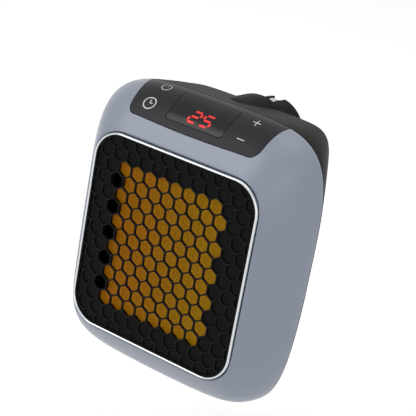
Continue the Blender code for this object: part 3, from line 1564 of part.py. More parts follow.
def make_plug(plug_frame, body_finish, metal_finish):
    """The plug: a round body that turns in the turret, two pins and two earth contacts."""
    body = turned(
        "plug_body",
        [
            (0, PLUG_HUB_FRONT),
            (PLUG_HUB_RADIUS, PLUG_HUB_FRONT),
            (PLUG_HUB_RADIUS, PLUG_SHOULDER_FRONT),
            (TURRET_CAVITY_RADIUS - CLEARANCE, PLUG_SHOULDER_FRONT),
            (TURRET_CAVITY_RADIUS - CLEARANCE, PLUG_FLANGE_FRONT),
            (PLUG_FLANGE_RADIUS, PLUG_FLANGE_FRONT),
            (PLUG_FLANGE_RADIUS, PLUG_FLANGE_REAR),
            (PLUG_NOSE_RADIUS, PLUG_FLANGE_REAR),
            (PLUG_NOSE_RADIUS, PLUG_FACE_Y - PLUG_NOSE_EDGE),
            (PLUG_NOSE_RADIUS - PLUG_NOSE_EDGE, PLUG_FACE_Y),
            (0, PLUG_FACE_Y),
        ],
    )
    as_part(body, body_finish, plug_frame)
    pin_places = [(-PIN_SPACING / 2, 0), (PIN_SPACING / 2, 0)]
    holes = rods(
        "pin_holes", PIN_RADIUS + CLEARANCE, PIN_ROOT - CLEARANCE, PLUG_FACE_Y + OVERRUN, pin_places
    )
    cut(body, as_tool(holes, plug_frame))
    for side, sign in (("left", -1), ("right", 1)):
        groove = box(
            f"guide_groove_{side}",
            (sign * GUIDE_GROOVE_FLOOR, GROOVE_FRONT, -GUIDE_GROOVE_HALF),
            (sign * (PLUG_NOSE_RADIUS + OVERRUN), PLUG_FACE_Y + OVERRUN, GUIDE_GROOVE_HALF),
        )
        cut(body, as_tool(outward(groove), plug_frame))
    for side, sign in (("top", 1), ("bottom", -1)):
        notch = box(
            f"earth_notch_{side}",
            (-EARTH_NOTCH_HALF, GROOVE_FRONT, sign * EARTH_NOTCH_FLOOR),
            (EARTH_NOTCH_HALF, PLUG_FACE_Y + OVERRUN, sign * (PLUG_NOSE_RADIUS + OVERRUN)),
        )
        cut(body, as_tool(outward(notch), plug_frame))
        contact = plate(
            f"earth_contact_{side}",
            earth_outline(sign),
            -EARTH_STRIP_HALF_WIDTH,
            EARTH_STRIP_HALF_WIDTH,
            level=True,
        )
        contact.rotation_euler = (0, -QUARTER_TURN, 0)
        as_part(contact, metal_finish, plug_frame)
    for label, (x, z) in zip(("plug_pin_left", "plug_pin_right"), pin_places):
        tip = PLUG_FACE_Y + PIN_REACH
        pin = turned(
            label,
            [
                (0, PIN_ROOT),
                (PIN_RADIUS, PIN_ROOT),
                (PIN_RADIUS, tip - PIN_TIP),
                (PIN_RADIUS - PIN_TIP / 4, tip - PIN_TIP / 2),
                (PIN_RADIUS - PIN_TIP, tip),
                (0, tip),
            ],
            SMALL_SEGMENTS,
            x=x,
            z=z,
        )
        as_part(pin, metal_finish, plug_frame)


def outward(obj):
    """Turns a box's faces outwards again where its corners were given the other way round."""
    bm = bmesh.new()
    bm.from_mesh(obj.data)
    bmesh.ops.recalc_face_normals(bm, faces=bm.faces)
    bm.to_mesh(obj.data)
    bm.free()
    return obj


def earth_outline(sign):
    """The bent earth strip seen from the side, as (z, y): flat, a rise and a sprung end."""
    start = GROOVE_FRONT + EARTH_STRIP_END_GAP
    end = PLUG_FACE_Y - EARTH_STRIP_END_GAP
    floor = EARTH_NOTCH_FLOOR + CLEARANCE + EARTH_STRIP / 2
    flat_end, rise_end, spring_start = (between(start, end, share) for share in EARTH_STRIP_BEND_SHARES)
    path = [
        (sign * floor, start),
        (sign * floor, flat_end),
        (sign * (floor + EARTH_STRIP_RISE), rise_end),
        (sign * (floor + EARTH_STRIP_RISE), spring_start),
        (sign * (floor + EARTH_STRIP_RISE / 2), end),
    ]
    return ribbon(path, EARTH_STRIP)


def make_plug_rings(frame, washer_finish, ring_finish):
    """The friction washer in front of the plug's flange and the ring that holds the flange in."""
    for name, inner, front, thickness, finish in (
        ("friction_washer", TURRET_CAVITY_RADIUS, WASHER_FRONT, WASHER_THICKNESS, washer_finish),
        ("retaining_ring", PLUG_NOSE_RADIUS + CLEARANCE, RING_FRONT, RING_THICKNESS, ring_finish),
    ):
        outer = TURRET_BORE_RADIUS - CLEARANCE
        rear = front + thickness
        ring = turned(
            name,
            [(outer, front), (outer, rear), (inner, rear), (inner, front)],
            RING_SEGMENTS,
            ring=True,
            z=TURRET_Z,
        )
        as_part(ring, finish, frame)


def make_main_board(frame, finishes):
    """The mains board in the rear cover, with its larger components and its screws."""
    board = box(
        "main_board",
        (-MAIN_BOARD_HALF_WIDTH, MAIN_BOARD_FRONT, MAIN_BOARD_BOTTOM),
        (MAIN_BOARD_HALF_WIDTH, MAIN_BOARD_REAR, MAIN_BOARD_TOP),
    )
    as_part(board, finishes["board"], frame)
    holes = rods(
        "main_board_holes",
        BOARD_SCREW_RADIUS + CLEARANCE,
        MAIN_BOARD_FRONT - OVERRUN,
        MAIN_BOARD_REAR + OVERRUN,
        BOARD_SCREW_PLACES,
        SCREW_SEGMENTS,
    )
    cut(board, as_tool(holes, frame))
    seat = MAIN_BOARD_FRONT - CLEARANCE
    for name, (width, depth, height), (x, rise), finish in (
        ("relay", RELAY_SIZE, RELAY_PLACE, "relay"),
        ("capacitor", CAPACITOR_SIZE, CAPACITOR_PLACE, "capacitor"),
        ("transformer", TRANSFORMER_SIZE, TRANSFORMER_PLACE, "transformer"),
    ):
        z = MAIN_BOARD_MIDDLE + rise
        body = box(
            name,
            (x - width / 2, seat - depth, z - height / 2),
            (x + width / 2, seat, z + height / 2),
            COMPONENT_EDGE,
        )
        as_part(body, finishes[finish], frame)
    sensor_x, sensor_rise = SENSOR_PLACE
    sensor = rods(
        "ambient_sensor",
        SENSOR_RADIUS,
        seat - SENSOR_LENGTH,
        seat,
        [(sensor_x, MAIN_BOARD_MIDDLE + sensor_rise)],
        SCREW_SEGMENTS,
    )
    as_part(sensor, finishes["capacitor"], frame)
    for label, (x, z) in zip(("board_screw_left", "board_screw_right"), BOARD_SCREW_PLACES):
        tip = STANDOFF_FRONT + BOARD_SCREW_BITE
        screw = turned(
            label,
            [
                (0, seat - BOARD_SCREW_HEAD),
                (BOARD_SCREW_HEAD_RADIUS, seat - BOARD_SCREW_HEAD),
                (BOARD_SCREW_HEAD_RADIUS, seat),
                (BOARD_SCREW_RADIUS, seat),
                (BOARD_SCREW_RADIUS, tip),
                (0, tip),
            ],
            SCREW_SEGMENTS,
            x=x,
            z=z,
        )
        as_part(screw, finishes["metal"], frame)


def main():
    shell_grey = material("shell_grey", (0.36, 0.39, 0.43), 0.35)
    panel_black = material("panel_black", (0.05, 0.05, 0.055), 0.25)
    cover_black = material("cover_black", (0.03, 0.03, 0.03), 0.4)
    grille_black = material("grille_black", (0.02, 0.02, 0.022), 0.5)
    bright_trim = material("bright_trim", (0.8, 0.8, 0.8), 0.12, 1.0)
    smoked_window = material("smoked_window", (0.02, 0.015, 0.02), 0.1)
    display_red = material("display_red", (0.35, 0.01, 0.01), 0.4)
    board_green = material("board_green", (0.03, 0.16, 0.07), 0.5)
    bar_metal = material("bar_metal", (0.5, 0.24, 0.02), 0.45, 0.6)
    fin_gold = material("fin_gold", (0.5, 0.24, 0.02), 0.45, 0.6)
    frame_brown = material("frame_brown", (0.05, 0.04, 0.035), 0.6)
    fan_black = material("fan_black", (0.04, 0.04, 0.045), 0.5)
    steel = material("steel", (0.55, 0.55, 0.56), 0.3, 1.0)
    motor_zinc = material("motor_zinc", (0.45, 0.46, 0.48), 0.35, 0.9)
    washer_grey = material("washer_grey", (0.25, 0.25, 0.25), 0.8)
    part_white = material("part_white", (0.6, 0.6, 0.58), 0.5)
    part_blue = material("part_blue", (0.05, 0.12, 0.35), 0.4)
    part_yellow = material("part_yellow", (0.6, 0.45, 0.08), 0.5)

    pivot = empty("housing_pivot", (0, 0, 0))
    frame = empty("housing_frame", (0, -PLUG_FACE_Y, -TURRET_Z), pivot)
    fan_frame = empty("fan_axis", (0, 0, 0), frame)
    plug_frame = empty("plug_frame", (0, -PLUG_FACE_Y, 0))
    board_frame = empty("board_frame", (0, BOARD_CENTRE_Y, BOARD_CENTRE_Z), frame, BOARD_TILT)

    make_front_shell(frame, shell_grey)
    make_trim(frame, bright_trim)
    make_grille(frame, grille_black)
    make_panel(frame, board_frame, panel_black)
    make_lens(frame, smoked_window)
    make_control_board(board_frame, board_green, display_red, steel, steel)
    make_element(frame, frame_brown, bar_metal, fin_gold)
    make_safety_parts(frame, fan_black, motor_zinc)
    make_duct(frame, fan_black)
    make_fan(fan_frame, fan_black, steel)
    make_motor(frame, fan_black, motor_zinc)
    make_rear_cover(frame, cover_black)
    make_plug(plug_frame, cover_black, steel)
    make_plug_rings(frame, washer_grey, steel)
    finishes = {
        "board": board_green,
        "relay": part_blue,
        "capacitor": part_yellow,
        "transformer": part_white,
        "metal": steel,
    }
    make_main_board(frame, finishes)
    make_screws(frame, steel)


main()
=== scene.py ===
"""Looks of the plug-in fan heater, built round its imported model.

Points are worked out in the body's own frame: X across, Y into the wall and Z up, from the
centre of the grille's front plane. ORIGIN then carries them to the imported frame, whose origin
is the middle of the plug's face.
"""

import collections
import json
import math

import bmesh
import bpy
from mathutils import Matrix, Vector


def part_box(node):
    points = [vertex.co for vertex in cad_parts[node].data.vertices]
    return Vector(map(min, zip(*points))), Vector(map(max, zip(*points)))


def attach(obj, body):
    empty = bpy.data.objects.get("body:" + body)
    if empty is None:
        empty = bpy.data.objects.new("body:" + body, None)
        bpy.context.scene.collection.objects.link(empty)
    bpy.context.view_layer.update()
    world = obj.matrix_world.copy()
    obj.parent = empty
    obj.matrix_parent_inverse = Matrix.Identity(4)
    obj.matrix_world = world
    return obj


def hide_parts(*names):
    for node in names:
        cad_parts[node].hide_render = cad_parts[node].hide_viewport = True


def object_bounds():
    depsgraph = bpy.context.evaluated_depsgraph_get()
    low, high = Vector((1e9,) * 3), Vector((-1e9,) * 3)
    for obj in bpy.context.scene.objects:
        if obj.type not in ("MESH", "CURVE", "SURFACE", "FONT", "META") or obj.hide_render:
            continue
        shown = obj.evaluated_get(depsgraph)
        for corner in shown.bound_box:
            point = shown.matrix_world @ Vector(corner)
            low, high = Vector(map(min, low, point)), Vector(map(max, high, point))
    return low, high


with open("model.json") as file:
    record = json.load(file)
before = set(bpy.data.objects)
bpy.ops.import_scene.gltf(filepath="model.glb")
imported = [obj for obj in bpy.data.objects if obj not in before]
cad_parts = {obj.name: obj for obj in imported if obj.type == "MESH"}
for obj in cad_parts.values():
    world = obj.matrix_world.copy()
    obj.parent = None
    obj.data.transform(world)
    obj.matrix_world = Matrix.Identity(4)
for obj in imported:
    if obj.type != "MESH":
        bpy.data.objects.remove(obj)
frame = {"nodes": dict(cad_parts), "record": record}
cad_low, cad_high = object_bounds()

MM = 0.001
QUARTER_TURN = math.pi / 2
FULL_TURN = 2 * math.pi

# Fits
CLEARANCE = 0.3 * MM
WINDOW_CLEARANCE = CLEARANCE * 0.9
OVERRUN = 3.0 * MM
WELD = 0.01 * MM
SHARP_ANGLE = math.radians(32)

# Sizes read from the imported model
grille_low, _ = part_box("grille")
trim_low, trim_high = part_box("trim_ring")
shell_low, shell_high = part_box("front_shell")
cover_low, cover_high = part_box("rear_cover")
ORIGIN = Vector(((trim_low.x + trim_high.x) / 2, grille_low.y, (trim_low.z + trim_high.z) / 2))
TRIM_HALF_WIDTH = (trim_high.x - trim_low.x) / 2
TRIM_HALF_HEIGHT = (trim_high.z - trim_low.z) / 2
TRIM_FRONT = trim_low.y - ORIGIN.y
TRIM_REAR = trim_high.y - ORIGIN.y
SEAM_HALF_WIDTH = cover_high.x
SEAM_TOP = cover_high.z - ORIGIN.z
SEAM_BOTTOM = cover_low.z - ORIGIN.z
SEAM_DEPTH = shell_high.y - ORIGIN.y
LIP_DEPTH = shell_low.y - ORIGIN.y
TURRET_REAR = cover_high.y - ORIGIN.y
TURRET_Z = -ORIGIN.z

# Trim ring and grille
TRIM_WIDTH = 3.5 * MM
TRIM_CORNER = 15.1 * MM
TRIM_CORNER_STEPS = 20
CROWN_WIDTH = 1.5 * MM
CROWN_SHOULDER = 0.9 * MM
CROWN_STEPS = 14
CELL_PITCH = 7.7 * MM
CELL_RADIUS = CELL_PITCH / math.sqrt(3)
CELL_TURNS = [QUARTER_TURN + step / 6 * FULL_TURN for step in range(6)]
ROW_PITCH = CELL_PITCH * math.sqrt(3) / 2
ROW_SHIFT_SHARE = 0.25
OPEN_ROWS = 11
OPEN_COLUMNS = 8
BORDER_CELLS = 3
EDGE_CELL_SHARE = 0.4
OPEN_FRONT_SHARE = 0.9
OPEN_REAR_SHARE = 0.94
CELL_CHAMFER = 0.18 * MM
CELL_CORNER_SHARE = 0.12
CHAMFER_SHARE = 2 * CELL_CHAMFER / CELL_PITCH
POCKET_SHARE = OPEN_FRONT_SHARE - CHAMFER_SHARE
GRILLE_OPEN_PLATE = 1.3 * MM
GRILLE_PLATE = 2.4 * MM
GRILLE_RIM = 0.35 * MM
POCKET_DEPTH = 1.7 * MM
DEEP_POCKET_DEPTH = 2.0 * MM
# Painted shade: near-black blocks fill the back of the blind pockets from these depths, darker than
# the moulding
SHADE_BLOCK_START = 0.75 * MM
DEEP_SHADE_BLOCK_FRONT = 1.6 * MM
SHADE_BLOCK_GAP = 0.02 * MM

# Folded fins and the bars between them
FIN_BANKS = 4
HEATING_BARS = 3
FOLD_PITCH = 1.1 * MM
FOLD_SHEET = 0.78 * MM
FOLD_OVERLAP = 0.25 * MM
BAR_GROOVE = 0.45 * MM
BAR_GROOVE_SHARE = 0.995

# Signs on the keys, each with its plan position on the panel
KEYS = (
    ("key_power", -27.3 * MM, 20.9 * MM, "power"),
    ("key_timer", -28.4 * MM, 10.7 * MM, "clock"),
    ("key_plus", 27.0 * MM, 18.9 * MM, "plus"),
    ("key_minus", 25.6 * MM, 9.7 * MM, "minus"),
)
KEY_LINE = 0.34 * MM
POWER_RADIUS = 2.5 * MM
POWER_GAP = math.radians(32)
POWER_BAR_SHARES = (0.35, 1.2)
CLOCK_RADIUS = 3.2 * MM
CLOCK_HAND_SHARES = (0.6, 0.5)
CLOCK_LINE = KEY_LINE * 1.7
CLOCK_HAND_LINE = KEY_LINE * 1.6
SIGN_REACH = 2.05 * MM
SIGN_LINE = KEY_LINE * 1.3
SIGN_GAP = KEY_LINE * 0.65
ARC_STEPS = 28

# Digits, and the ends of their segments as shares of width and height
DIGIT_PLACE = (1.5 * MM, 11.4 * MM)
DIGIT_WIDTH = 4.9 * MM
DIGIT_HEIGHT = 6.2 * MM
DIGIT_GAP = 2.1 * MM
DIGIT_LINE = 1.1 * MM
DIGIT_LEAN = math.tan(math.radians(12))
SEGMENTS = {
    "a": ((0.12, 1), (0.88, 1)),
    "b": ((1, 0.9), (1, 0.6)),
    "c": ((1, 0.4), (1, 0.1)),
    "d": ((0.12, 0), (0.88, 0)),
    "e": ((0, 0.4), (0, 0.1)),
    "f": ((0, 0.9), (0, 0.6)),
    "g": ((0.12, 0.5), (0.88, 0.5)),
}
TWO = "abged"
FIVE = "afgcd"

# Outer skin
SKIN_WALL = 2.2 * MM
SKIN_CENTRE_Z = 1.5 * MM
LIP_EDGE_SIDE = 0.7 * MM
LIP_EDGE_TOP = 1.1 * MM
LIP_EDGE_BOTTOM = 0.9 * MM
LIP_POWER = 7.5
REBATE_DEPTH = 2.7 * MM
LEDGE_REAR = 4.7 * MM
SEAM_TOP_POWER = 4.9
SEAM_BOTTOM_POWER = 6.5
SEAM_TOP_BOW = 0.7 * MM
SEAM_BOTTOM_BOW = 3.3 * MM
SEAM_SIDE_BOW = 5.7 * MM
SEAM_EDGE = 0.35 * MM
REAR_DEPTH = 61.6 * MM
REAR_HALF_WIDTH = 44.7 * MM
REAR_TOP = 68.1 * MM
REAR_BOTTOM = -61.6 * MM
REAR_POWER = 9.0
REAR_EDGE = 3.0 * MM
SIDE_SWELL = 1.474
TOP_SWELL = 2.101
BOTTOM_SWELL = 2.3
SKIN_RINGS = 30
SKIN_RING_POWER = 1.6
SKIN_STEP_SHARE = 0.001
QUADRANT_STEPS = 40
CORNER_CROWDING_SHARE = 0.5
INNER_START_SHARE = 0.12
LIP_ROUND_SHARE = 0.3
LIP_ROUND_DEPTH_SHARE = 0.75
SEAM_EDGE_STEPS = 3
TOP_SEARCH_MARGIN = QUARTER_TURN / 4
TOP_SEARCH_STEPS = 30
RING_SEARCH_STEPS = 40

# Rear cover
COVER_FRONT = SEAM_DEPTH + CLEARANCE
COVER_RINGS = 14
EDGE_STEPS = 8
WELL_RADIUS = 4.8 * MM
WELL_WALL = 1.4 * MM
WELL_FLOOR = 2.7 * MM
WELL_X = 36.0 * MM
WELL_HEIGHTS = (56.0 * MM, -53.5 * MM)
SLOT_ROWS = 7
SLOT_COLUMNS = 3
SLOT_PITCH = 7.4 * MM
SLOT_HEIGHT = 4.6 * MM
SLOT_LENGTH = 22.0 * MM
SLOT_BRIDGE = 3.2 * MM
TURRET_RADIUS = 20.8 * MM
TURRET_FRONT = 37.0 * MM
TURRET_SHOULDER = 5.0 * MM
TURRET_WALL = 1.6 * MM
TURRET_EDGE = 0.4 * MM
TURRET_BORE_RADIUS = 19.4 * MM
TURRET_BORE_FRONT = 57.3 * MM
TURRET_CAVITY_RADIUS = 17.5 * MM
TURRET_WIRE_HOLE = 6.0 * MM
TURNED_SEGMENTS = 96

# Plug
PLUG_FACE_Y = 80.8 * MM
PLUG_HUB_FRONT = 47.0 * MM
PLUG_HUB_RADIUS = 14.5 * MM
PLUG_SHOULDER_FRONT = 54.0 * MM
PLUG_FLANGE_FRONT = 58.9 * MM
PLUG_FLANGE_REAR = 60.1 * MM
PLUG_NOSE_RADIUS = 17.75 * MM
PLUG_NOSE_EDGE = 0.8 * MM
RING_REAR = 62.6 * MM
PIN_SPACING = 19.0 * MM
PIN_HOLE_RADIUS = 2.7 * MM
PIN_HOLE_FRONT = 49.2 * MM
GROOVE_FRONT = 64.5 * MM
GUIDE_GROOVE_HALF = 2.9 * MM
GUIDE_GROOVE_FLOOR = 15.9 * MM
EARTH_NOTCH_HALF = 3.2 * MM
EARTH_NOTCH_FLOOR = 14.2 * MM

# Panel and window
PANEL_FRONT = 4.9 * MM
PANEL_FRONT_BOW = 0.7 * MM
PANEL_HALF_WIDTH = 38.3 * MM
PANEL_FLARE = 2.3 * MM
PANEL_CORNER = 5.0 * MM
WINDOW_HALF_WIDTH = 16.6 * MM
WINDOW_FRONT = 7.5 * MM
WINDOW_REAR = 21.6 * MM
WINDOW_CORNER = 1.5 * MM
LENS_THICKNESS = 1.0 * MM
PANEL_STEPS = 14
WINDOW_CORNER_STEPS = 6
PRINT_HEIGHT = 0.04 * MM

# Detail that every finish has
DRIFT_SCALE = 38
DRIFT_DETAIL = 4
DRIFT_RANGE = (0.3, 0.7)
GLOSS_SPREAD = 0.12
GRAIN_DETAIL = 2
GRAIN_RELIEF = 0.1 * MM

# What is lit: colours in display levels, where they lie across, and how strongly they glow; the
# gold sheet's glow is painted light
SHEET_LEVELS = (240, 240, 240)
GOLD_LEVELS = ((168, 109, 10), (168, 126, 13))
GOLD_LEFT = -TRIM_HALF_WIDTH / 2
GOLD_RIGHT = TRIM_HALF_WIDTH * 2 / 3
GOLD_PAINTED_GLOW = 0.25
DIGIT_LEVELS = (225, 34, 30)
DIGIT_GLOW_LEVELS = (235, 30, 28)
DIGIT_GLOW = 0.42

# Stage: sizes in metres, levels as shares of white
FLOOR_SIZE = 6
FLOOR_DROP = 0.05
FLOOR_LEVEL = 0.93
FLOOR_DRIFT = 0.985
FLOOR_DRIFT_SCALE = 6
FLOOR_ROUGHNESS = 0.9
FLOOR_LIFT = 0.5
WORLD_LEVEL = 0.42

# Lamps: place from the heater's middle and size in metres, and power in watts
LAMPS = (
    ("key", (-0.75, -0.95, 1.05), 0.9, 5.5),
    ("fill", (1.2, -0.8, 0.35), 1.2, 2.6),
    ("top", (0.1, 0.2, 1.4), 1.0, 2.2),
)

# Camera of the photograph, its place in the body's frame
CAMERA_PLACE = Vector((343.13, -501.99, 238.83)) * MM
CAMERA_AZIMUTH = math.radians(32.659)
CAMERA_ELEVATION = math.radians(19.166)
CAMERA_ROLL = math.radians(10.537)
CAMERA_LENS = 119.74
CAMERA_SENSOR = 36
CAMERA_CLIP = 0.05

Section = collections.namedtuple(
    "Section",
    "half_width top bottom top_power bottom_power top_bow bottom_bow side_bow",
)
LIP = Section(
    half_width=TRIM_HALF_WIDTH + CLEARANCE + LIP_EDGE_SIDE,
    top=TRIM_HALF_HEIGHT + CLEARANCE + LIP_EDGE_TOP,
    bottom=-TRIM_HALF_HEIGHT - CLEARANCE - LIP_EDGE_BOTTOM,
    top_power=LIP_POWER,
    bottom_power=LIP_POWER,
    top_bow=0,
    bottom_bow=0,
    side_bow=0,
)
SEAM = Section(
    half_width=SEAM_HALF_WIDTH,
    top=SEAM_TOP,
    bottom=SEAM_BOTTOM,
    top_power=SEAM_TOP_POWER,
    bottom_power=SEAM_BOTTOM_POWER,
    top_bow=SEAM_TOP_BOW,
    bottom_bow=SEAM_BOTTOM_BOW,
    side_bow=SEAM_SIDE_BOW,
)
REAR = Section(
    half_width=REAR_HALF_WIDTH,
    top=REAR_TOP,
    bottom=REAR_BOTTOM,
    top_power=REAR_POWER,
    bottom_power=REAR_POWER,
    top_bow=0,
    bottom_bow=0,
    side_bow=0,
)


# ---- materials ----


def linear(levels):
    """A colour given in 0-255 display levels, as the shader takes it, by the sRGB curve."""
    shares = [level / 255 for level in levels]
    return [s / 12.92 if s <= 0.04045 else ((s + 0.055) / 1.055) ** 2.4 for s in shares]


def mottled(name, levels, roughness, contrast, grain, bump, metallic=0.0, coat=0.0, specular=0.5):
    """A finish with slight colour drift, uneven gloss and a fine moulded or plated grain."""
    colour = linear(levels)
    made = bpy.data.materials.new(name)
    made.use_nodes = True
    nodes = made.node_tree.nodes
    links = made.node_tree.links
    shader = nodes["Principled BSDF"]
    shader.inputs["Metallic"].default_value = metallic
    shader.inputs["Coat Weight"].default_value = coat
    shader.inputs["Specular IOR Level"].default_value = specular
    place = nodes.new("ShaderNodeTexCoord")
    drift = nodes.new("ShaderNodeTexNoise")
    drift.inputs["Scale"].default_value = DRIFT_SCALE
    drift.inputs["Detail"].default_value = DRIFT_DETAIL
    links.new(place.outputs["Object"], drift.inputs["Vector"])
    tone = nodes.new("ShaderNodeValToRGB")
    first, last = tone.color_ramp.elements
    first.position, last.position = DRIFT_RANGE
    first.color = (*(c * (1 - contrast) for c in colour), 1)
    last.color = (*(min(c * (1 + contrast), 1) for c in colour), 1)
    links.new(drift.outputs["Fac"], tone.inputs["Fac"])
    links.new(tone.outputs["Color"], shader.inputs["Base Color"])
    fine = nodes.new("ShaderNodeTexNoise")
    fine.inputs["Scale"].default_value = grain
    fine.inputs["Detail"].default_value = GRAIN_DETAIL
    links.new(place.outputs["Object"], fine.inputs["Vector"])
    gloss = nodes.new("ShaderNodeMapRange")
    gloss.inputs["To Min"].default_value = roughness * (1 - GLOSS_SPREAD)
    gloss.inputs["To Max"].default_value = min(roughness * (1 + GLOSS_SPREAD), 1)
    links.new(drift.outputs["Fac"], gloss.inputs["Value"])
    links.new(gloss.outputs["Result"], shader.inputs["Roughness"])
    relief = nodes.new("ShaderNodeBump")
    relief.inputs["Strength"].default_value = bump
    relief.inputs["Distance"].default_value = GRAIN_RELIEF
    links.new(fine.outputs["Fac"], relief.inputs["Height"])
    links.new(relief.outputs["Normal"], shader.inputs["Normal"])
    return made


def golden(name):
    """The gold-coated heating sheet: orange at the left, yellower at the right, with a little
    painted glow though it is no lamp.
    """
    made = mottled(name, SHEET_LEVELS, 0.5, 0.08, 1200, 0.04, specular=0.15)
    nodes = made.node_tree.nodes
    links = made.node_tree.links
    shader = nodes["Principled BSDF"]
    place = nodes.new("ShaderNodeTexCoord")
    split = nodes.new("ShaderNodeSeparateXYZ")
    links.new(place.outputs["Object"], split.inputs["Vector"])
    share = nodes.new("ShaderNodeMapRange")
    share.inputs["From Min"].default_value = GOLD_LEFT
    share.inputs["From Max"].default_value = GOLD_RIGHT
    links.new(split.outputs["X"], share.inputs["Value"])
    tint = nodes.new("ShaderNodeValToRGB")
    for element, levels in zip(tint.color_ramp.elements, GOLD_LEVELS):
        element.color = (*linear(levels), 1)
    links.new(share.outputs["Result"], tint.inputs["Fac"])
    blend = nodes.new("ShaderNodeMix")
    blend.data_type = "RGBA"
    blend.blend_type = "MULTIPLY"
    blend.inputs["Factor"].default_value = 1
    links.new(tint.outputs["Color"], blend.inputs["A"])
    links.new(shader.inputs["Base Color"].links[0].from_socket, blend.inputs["B"])
    links.new(blend.outputs["Result"], shader.inputs["Base Color"])
    # Painted glow: the sheet gives off a little light in its own tint, though it is no lamp
    links.new(tint.outputs["Color"], shader.inputs["Emission Color"])
    shader.inputs["Emission Strength"].default_value = GOLD_PAINTED_GLOW
    return made


def lit_red(name):
    """The glowing segments of the display."""
    made = mottled(name, DIGIT_LEVELS, 0.4, 0.1, 2500, 0.03)
    shader = made.node_tree.nodes["Principled BSDF"]
    shader.inputs["Emission Color"].default_value = (*linear(DIGIT_GLOW_LEVELS), 1)
    shader.inputs["Emission Strength"].default_value = DIGIT_GLOW
    return made


# Each with its display levels, roughness, colour drift, grain scale and grain bump
FINISHES = {
    "shell_grey": mottled(
        "silver_grey_lacquer", (152, 161, 177), 0.34, 0.02, 4200, 0.04, coat=0.12
    ),
    "panel_black": mottled("panel_satin_grey", (41, 41, 45), 0.36, 0.05, 3800, 0.04, specular=0.18),
    "smoked_window": mottled("smoked_window", (26, 24, 27), 0.16, 0.1, 900, 0.0, specular=0.25),
    "bright_trim": mottled("polished_trim", (208, 211, 213), 0.14, 0.02, 900, 0.005, metallic=1.0),
    "grille_black": mottled("grille_moulding", (15, 15, 17), 0.44, 0.1, 3000, 0.06, specular=0.1),
    "cover_black": mottled("cover_moulding", (36, 35, 33), 0.42, 0.08, 2600, 0.05, specular=0.015),
    "frame_brown": mottled("heatproof_moulding", (46, 36, 30), 0.6, 0.12, 1800, 0.12),
    # Both gold finishes carry a painted glow
    "bar_metal": golden("bar_gold"),
    "fin_gold": golden("fin_gold"),
    "board_green": mottled("solder_mask", (28, 92, 52), 0.35, 0.15, 1200, 0.05),
    "display_red": mottled("display_body", (70, 14, 14), 0.4, 0.1, 1500, 0.05),
    "steel": mottled("bright_steel", (190, 190, 192), 0.24, 0.05, 1600, 0.03, metallic=1.0),
    "fan_black": mottled("fan_moulding", (34, 34, 36), 0.45, 0.1, 2400, 0.1),
    "motor_zinc": mottled("zinc_plate", (170, 172, 176), 0.36, 0.1, 900, 0.06, metallic=1.0),
    "washer_grey": mottled("fibre_grey", (104, 104, 102), 0.8, 0.15, 1800, 0.2),
    "part_white": mottled("component_white", (205, 204, 198), 0.5, 0.05, 1500, 0.06),
    "part_blue": mottled("component_blue", (44, 76, 150), 0.4, 0.08, 1500, 0.05),
    "part_yellow": mottled("component_yellow", (206, 168, 70), 0.45, 0.08, 1500, 0.05),
}
PRINT_WHITE = mottled("print_white", (232, 233, 234), 0.5, 0.04, 3000, 0.02)
DIGIT_RED = lit_red("digit_red")
# Painted shade for the backs of the blind pockets, darker than the grille's own moulding, the deep
# pockets blackest
POCKET_SHADE_PAINT = mottled("painted_pocket_shade", (6, 6, 7), 0.6, 0.1, 2000, 0.02, specular=0.1)
DEEP_SHADE_PAINT = mottled("painted_deep_shade", (2, 2, 2), 0.8, 0.1, 2000, 0.02, specular=0.0)

for entry in frame["record"]["subparts"]:
    node = frame["nodes"][entry["node"]]
    node.data.materials.clear()
    node.data.materials.append(FINISHES[entry["material_slot"]])


# ---- building helpers ----


def smooth(mesh):
    """Shades a mesh smooth, but for its real edges."""
    mesh.shade_smooth()
    mesh.set_sharp_from_angle(angle=SHARP_ANGLE)


def object_from(name, bm):
    mesh = bpy.data.meshes.new(name)
    bm.to_mesh(mesh)
    bm.free()
    smooth(mesh)
    made = bpy.data.objects.new(name, mesh)
    bpy.context.scene.collection.objects.link(made)
    return made


def add_rings(bm, rings, closed=False):
    """Adds a surface through like rings: closed on itself, or capped at both ends."""
    rows = [[bm.verts.new(point) for point in ring] for ring in rings]
    if closed:
        rows.append(rows[0])
    for near, far in zip(rows, rows[1:]):
        for i in range(len(near)):
            j = (i + 1) % len(near)
            bm.faces.new((near[i], far[i], far[j], near[j]))
    if not closed:
        bm.faces.new(rows[0])
        bm.faces.new(rows[-1][::-1])


def through_rings(name, rings, closed=False):
    """A piece with one surface through like rings."""
    bm = bmesh.new()
    add_rings(bm, rings, closed)
    bmesh.ops.recalc_face_normals(bm, faces=bm.faces)
    return object_from(name, bm)


def carve(obj, tool, operation="DIFFERENCE"):
    """Applies one Boolean and removes its tool."""
    step = obj.modifiers.new("carve", "BOOLEAN")
    step.operation = operation
    step.object = tool
    bpy.context.view_layer.update()
    graph = bpy.context.evaluated_depsgraph_get()
    mesh = bpy.data.meshes.new_from_object(obj.evaluated_get(graph))
    old = obj.data
    obj.modifiers.clear()
    obj.data = mesh
    mesh.name = obj.name
    bpy.data.meshes.remove(old)
    bpy.data.objects.remove(tool)
    smooth(mesh)


def dress(obj, slot, stands_for=(), body="housing", finish=None):
    """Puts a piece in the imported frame, on its body, with its finish."""
    obj.data.transform(Matrix.Translation(ORIGIN))
    obj.data.materials.clear()
    obj.data.materials.append(finish or FINISHES[slot])
    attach(obj, body)
    if stands_for:
        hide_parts(*stands_for)


def between(first, last, share):
    return first + (last - first) * share


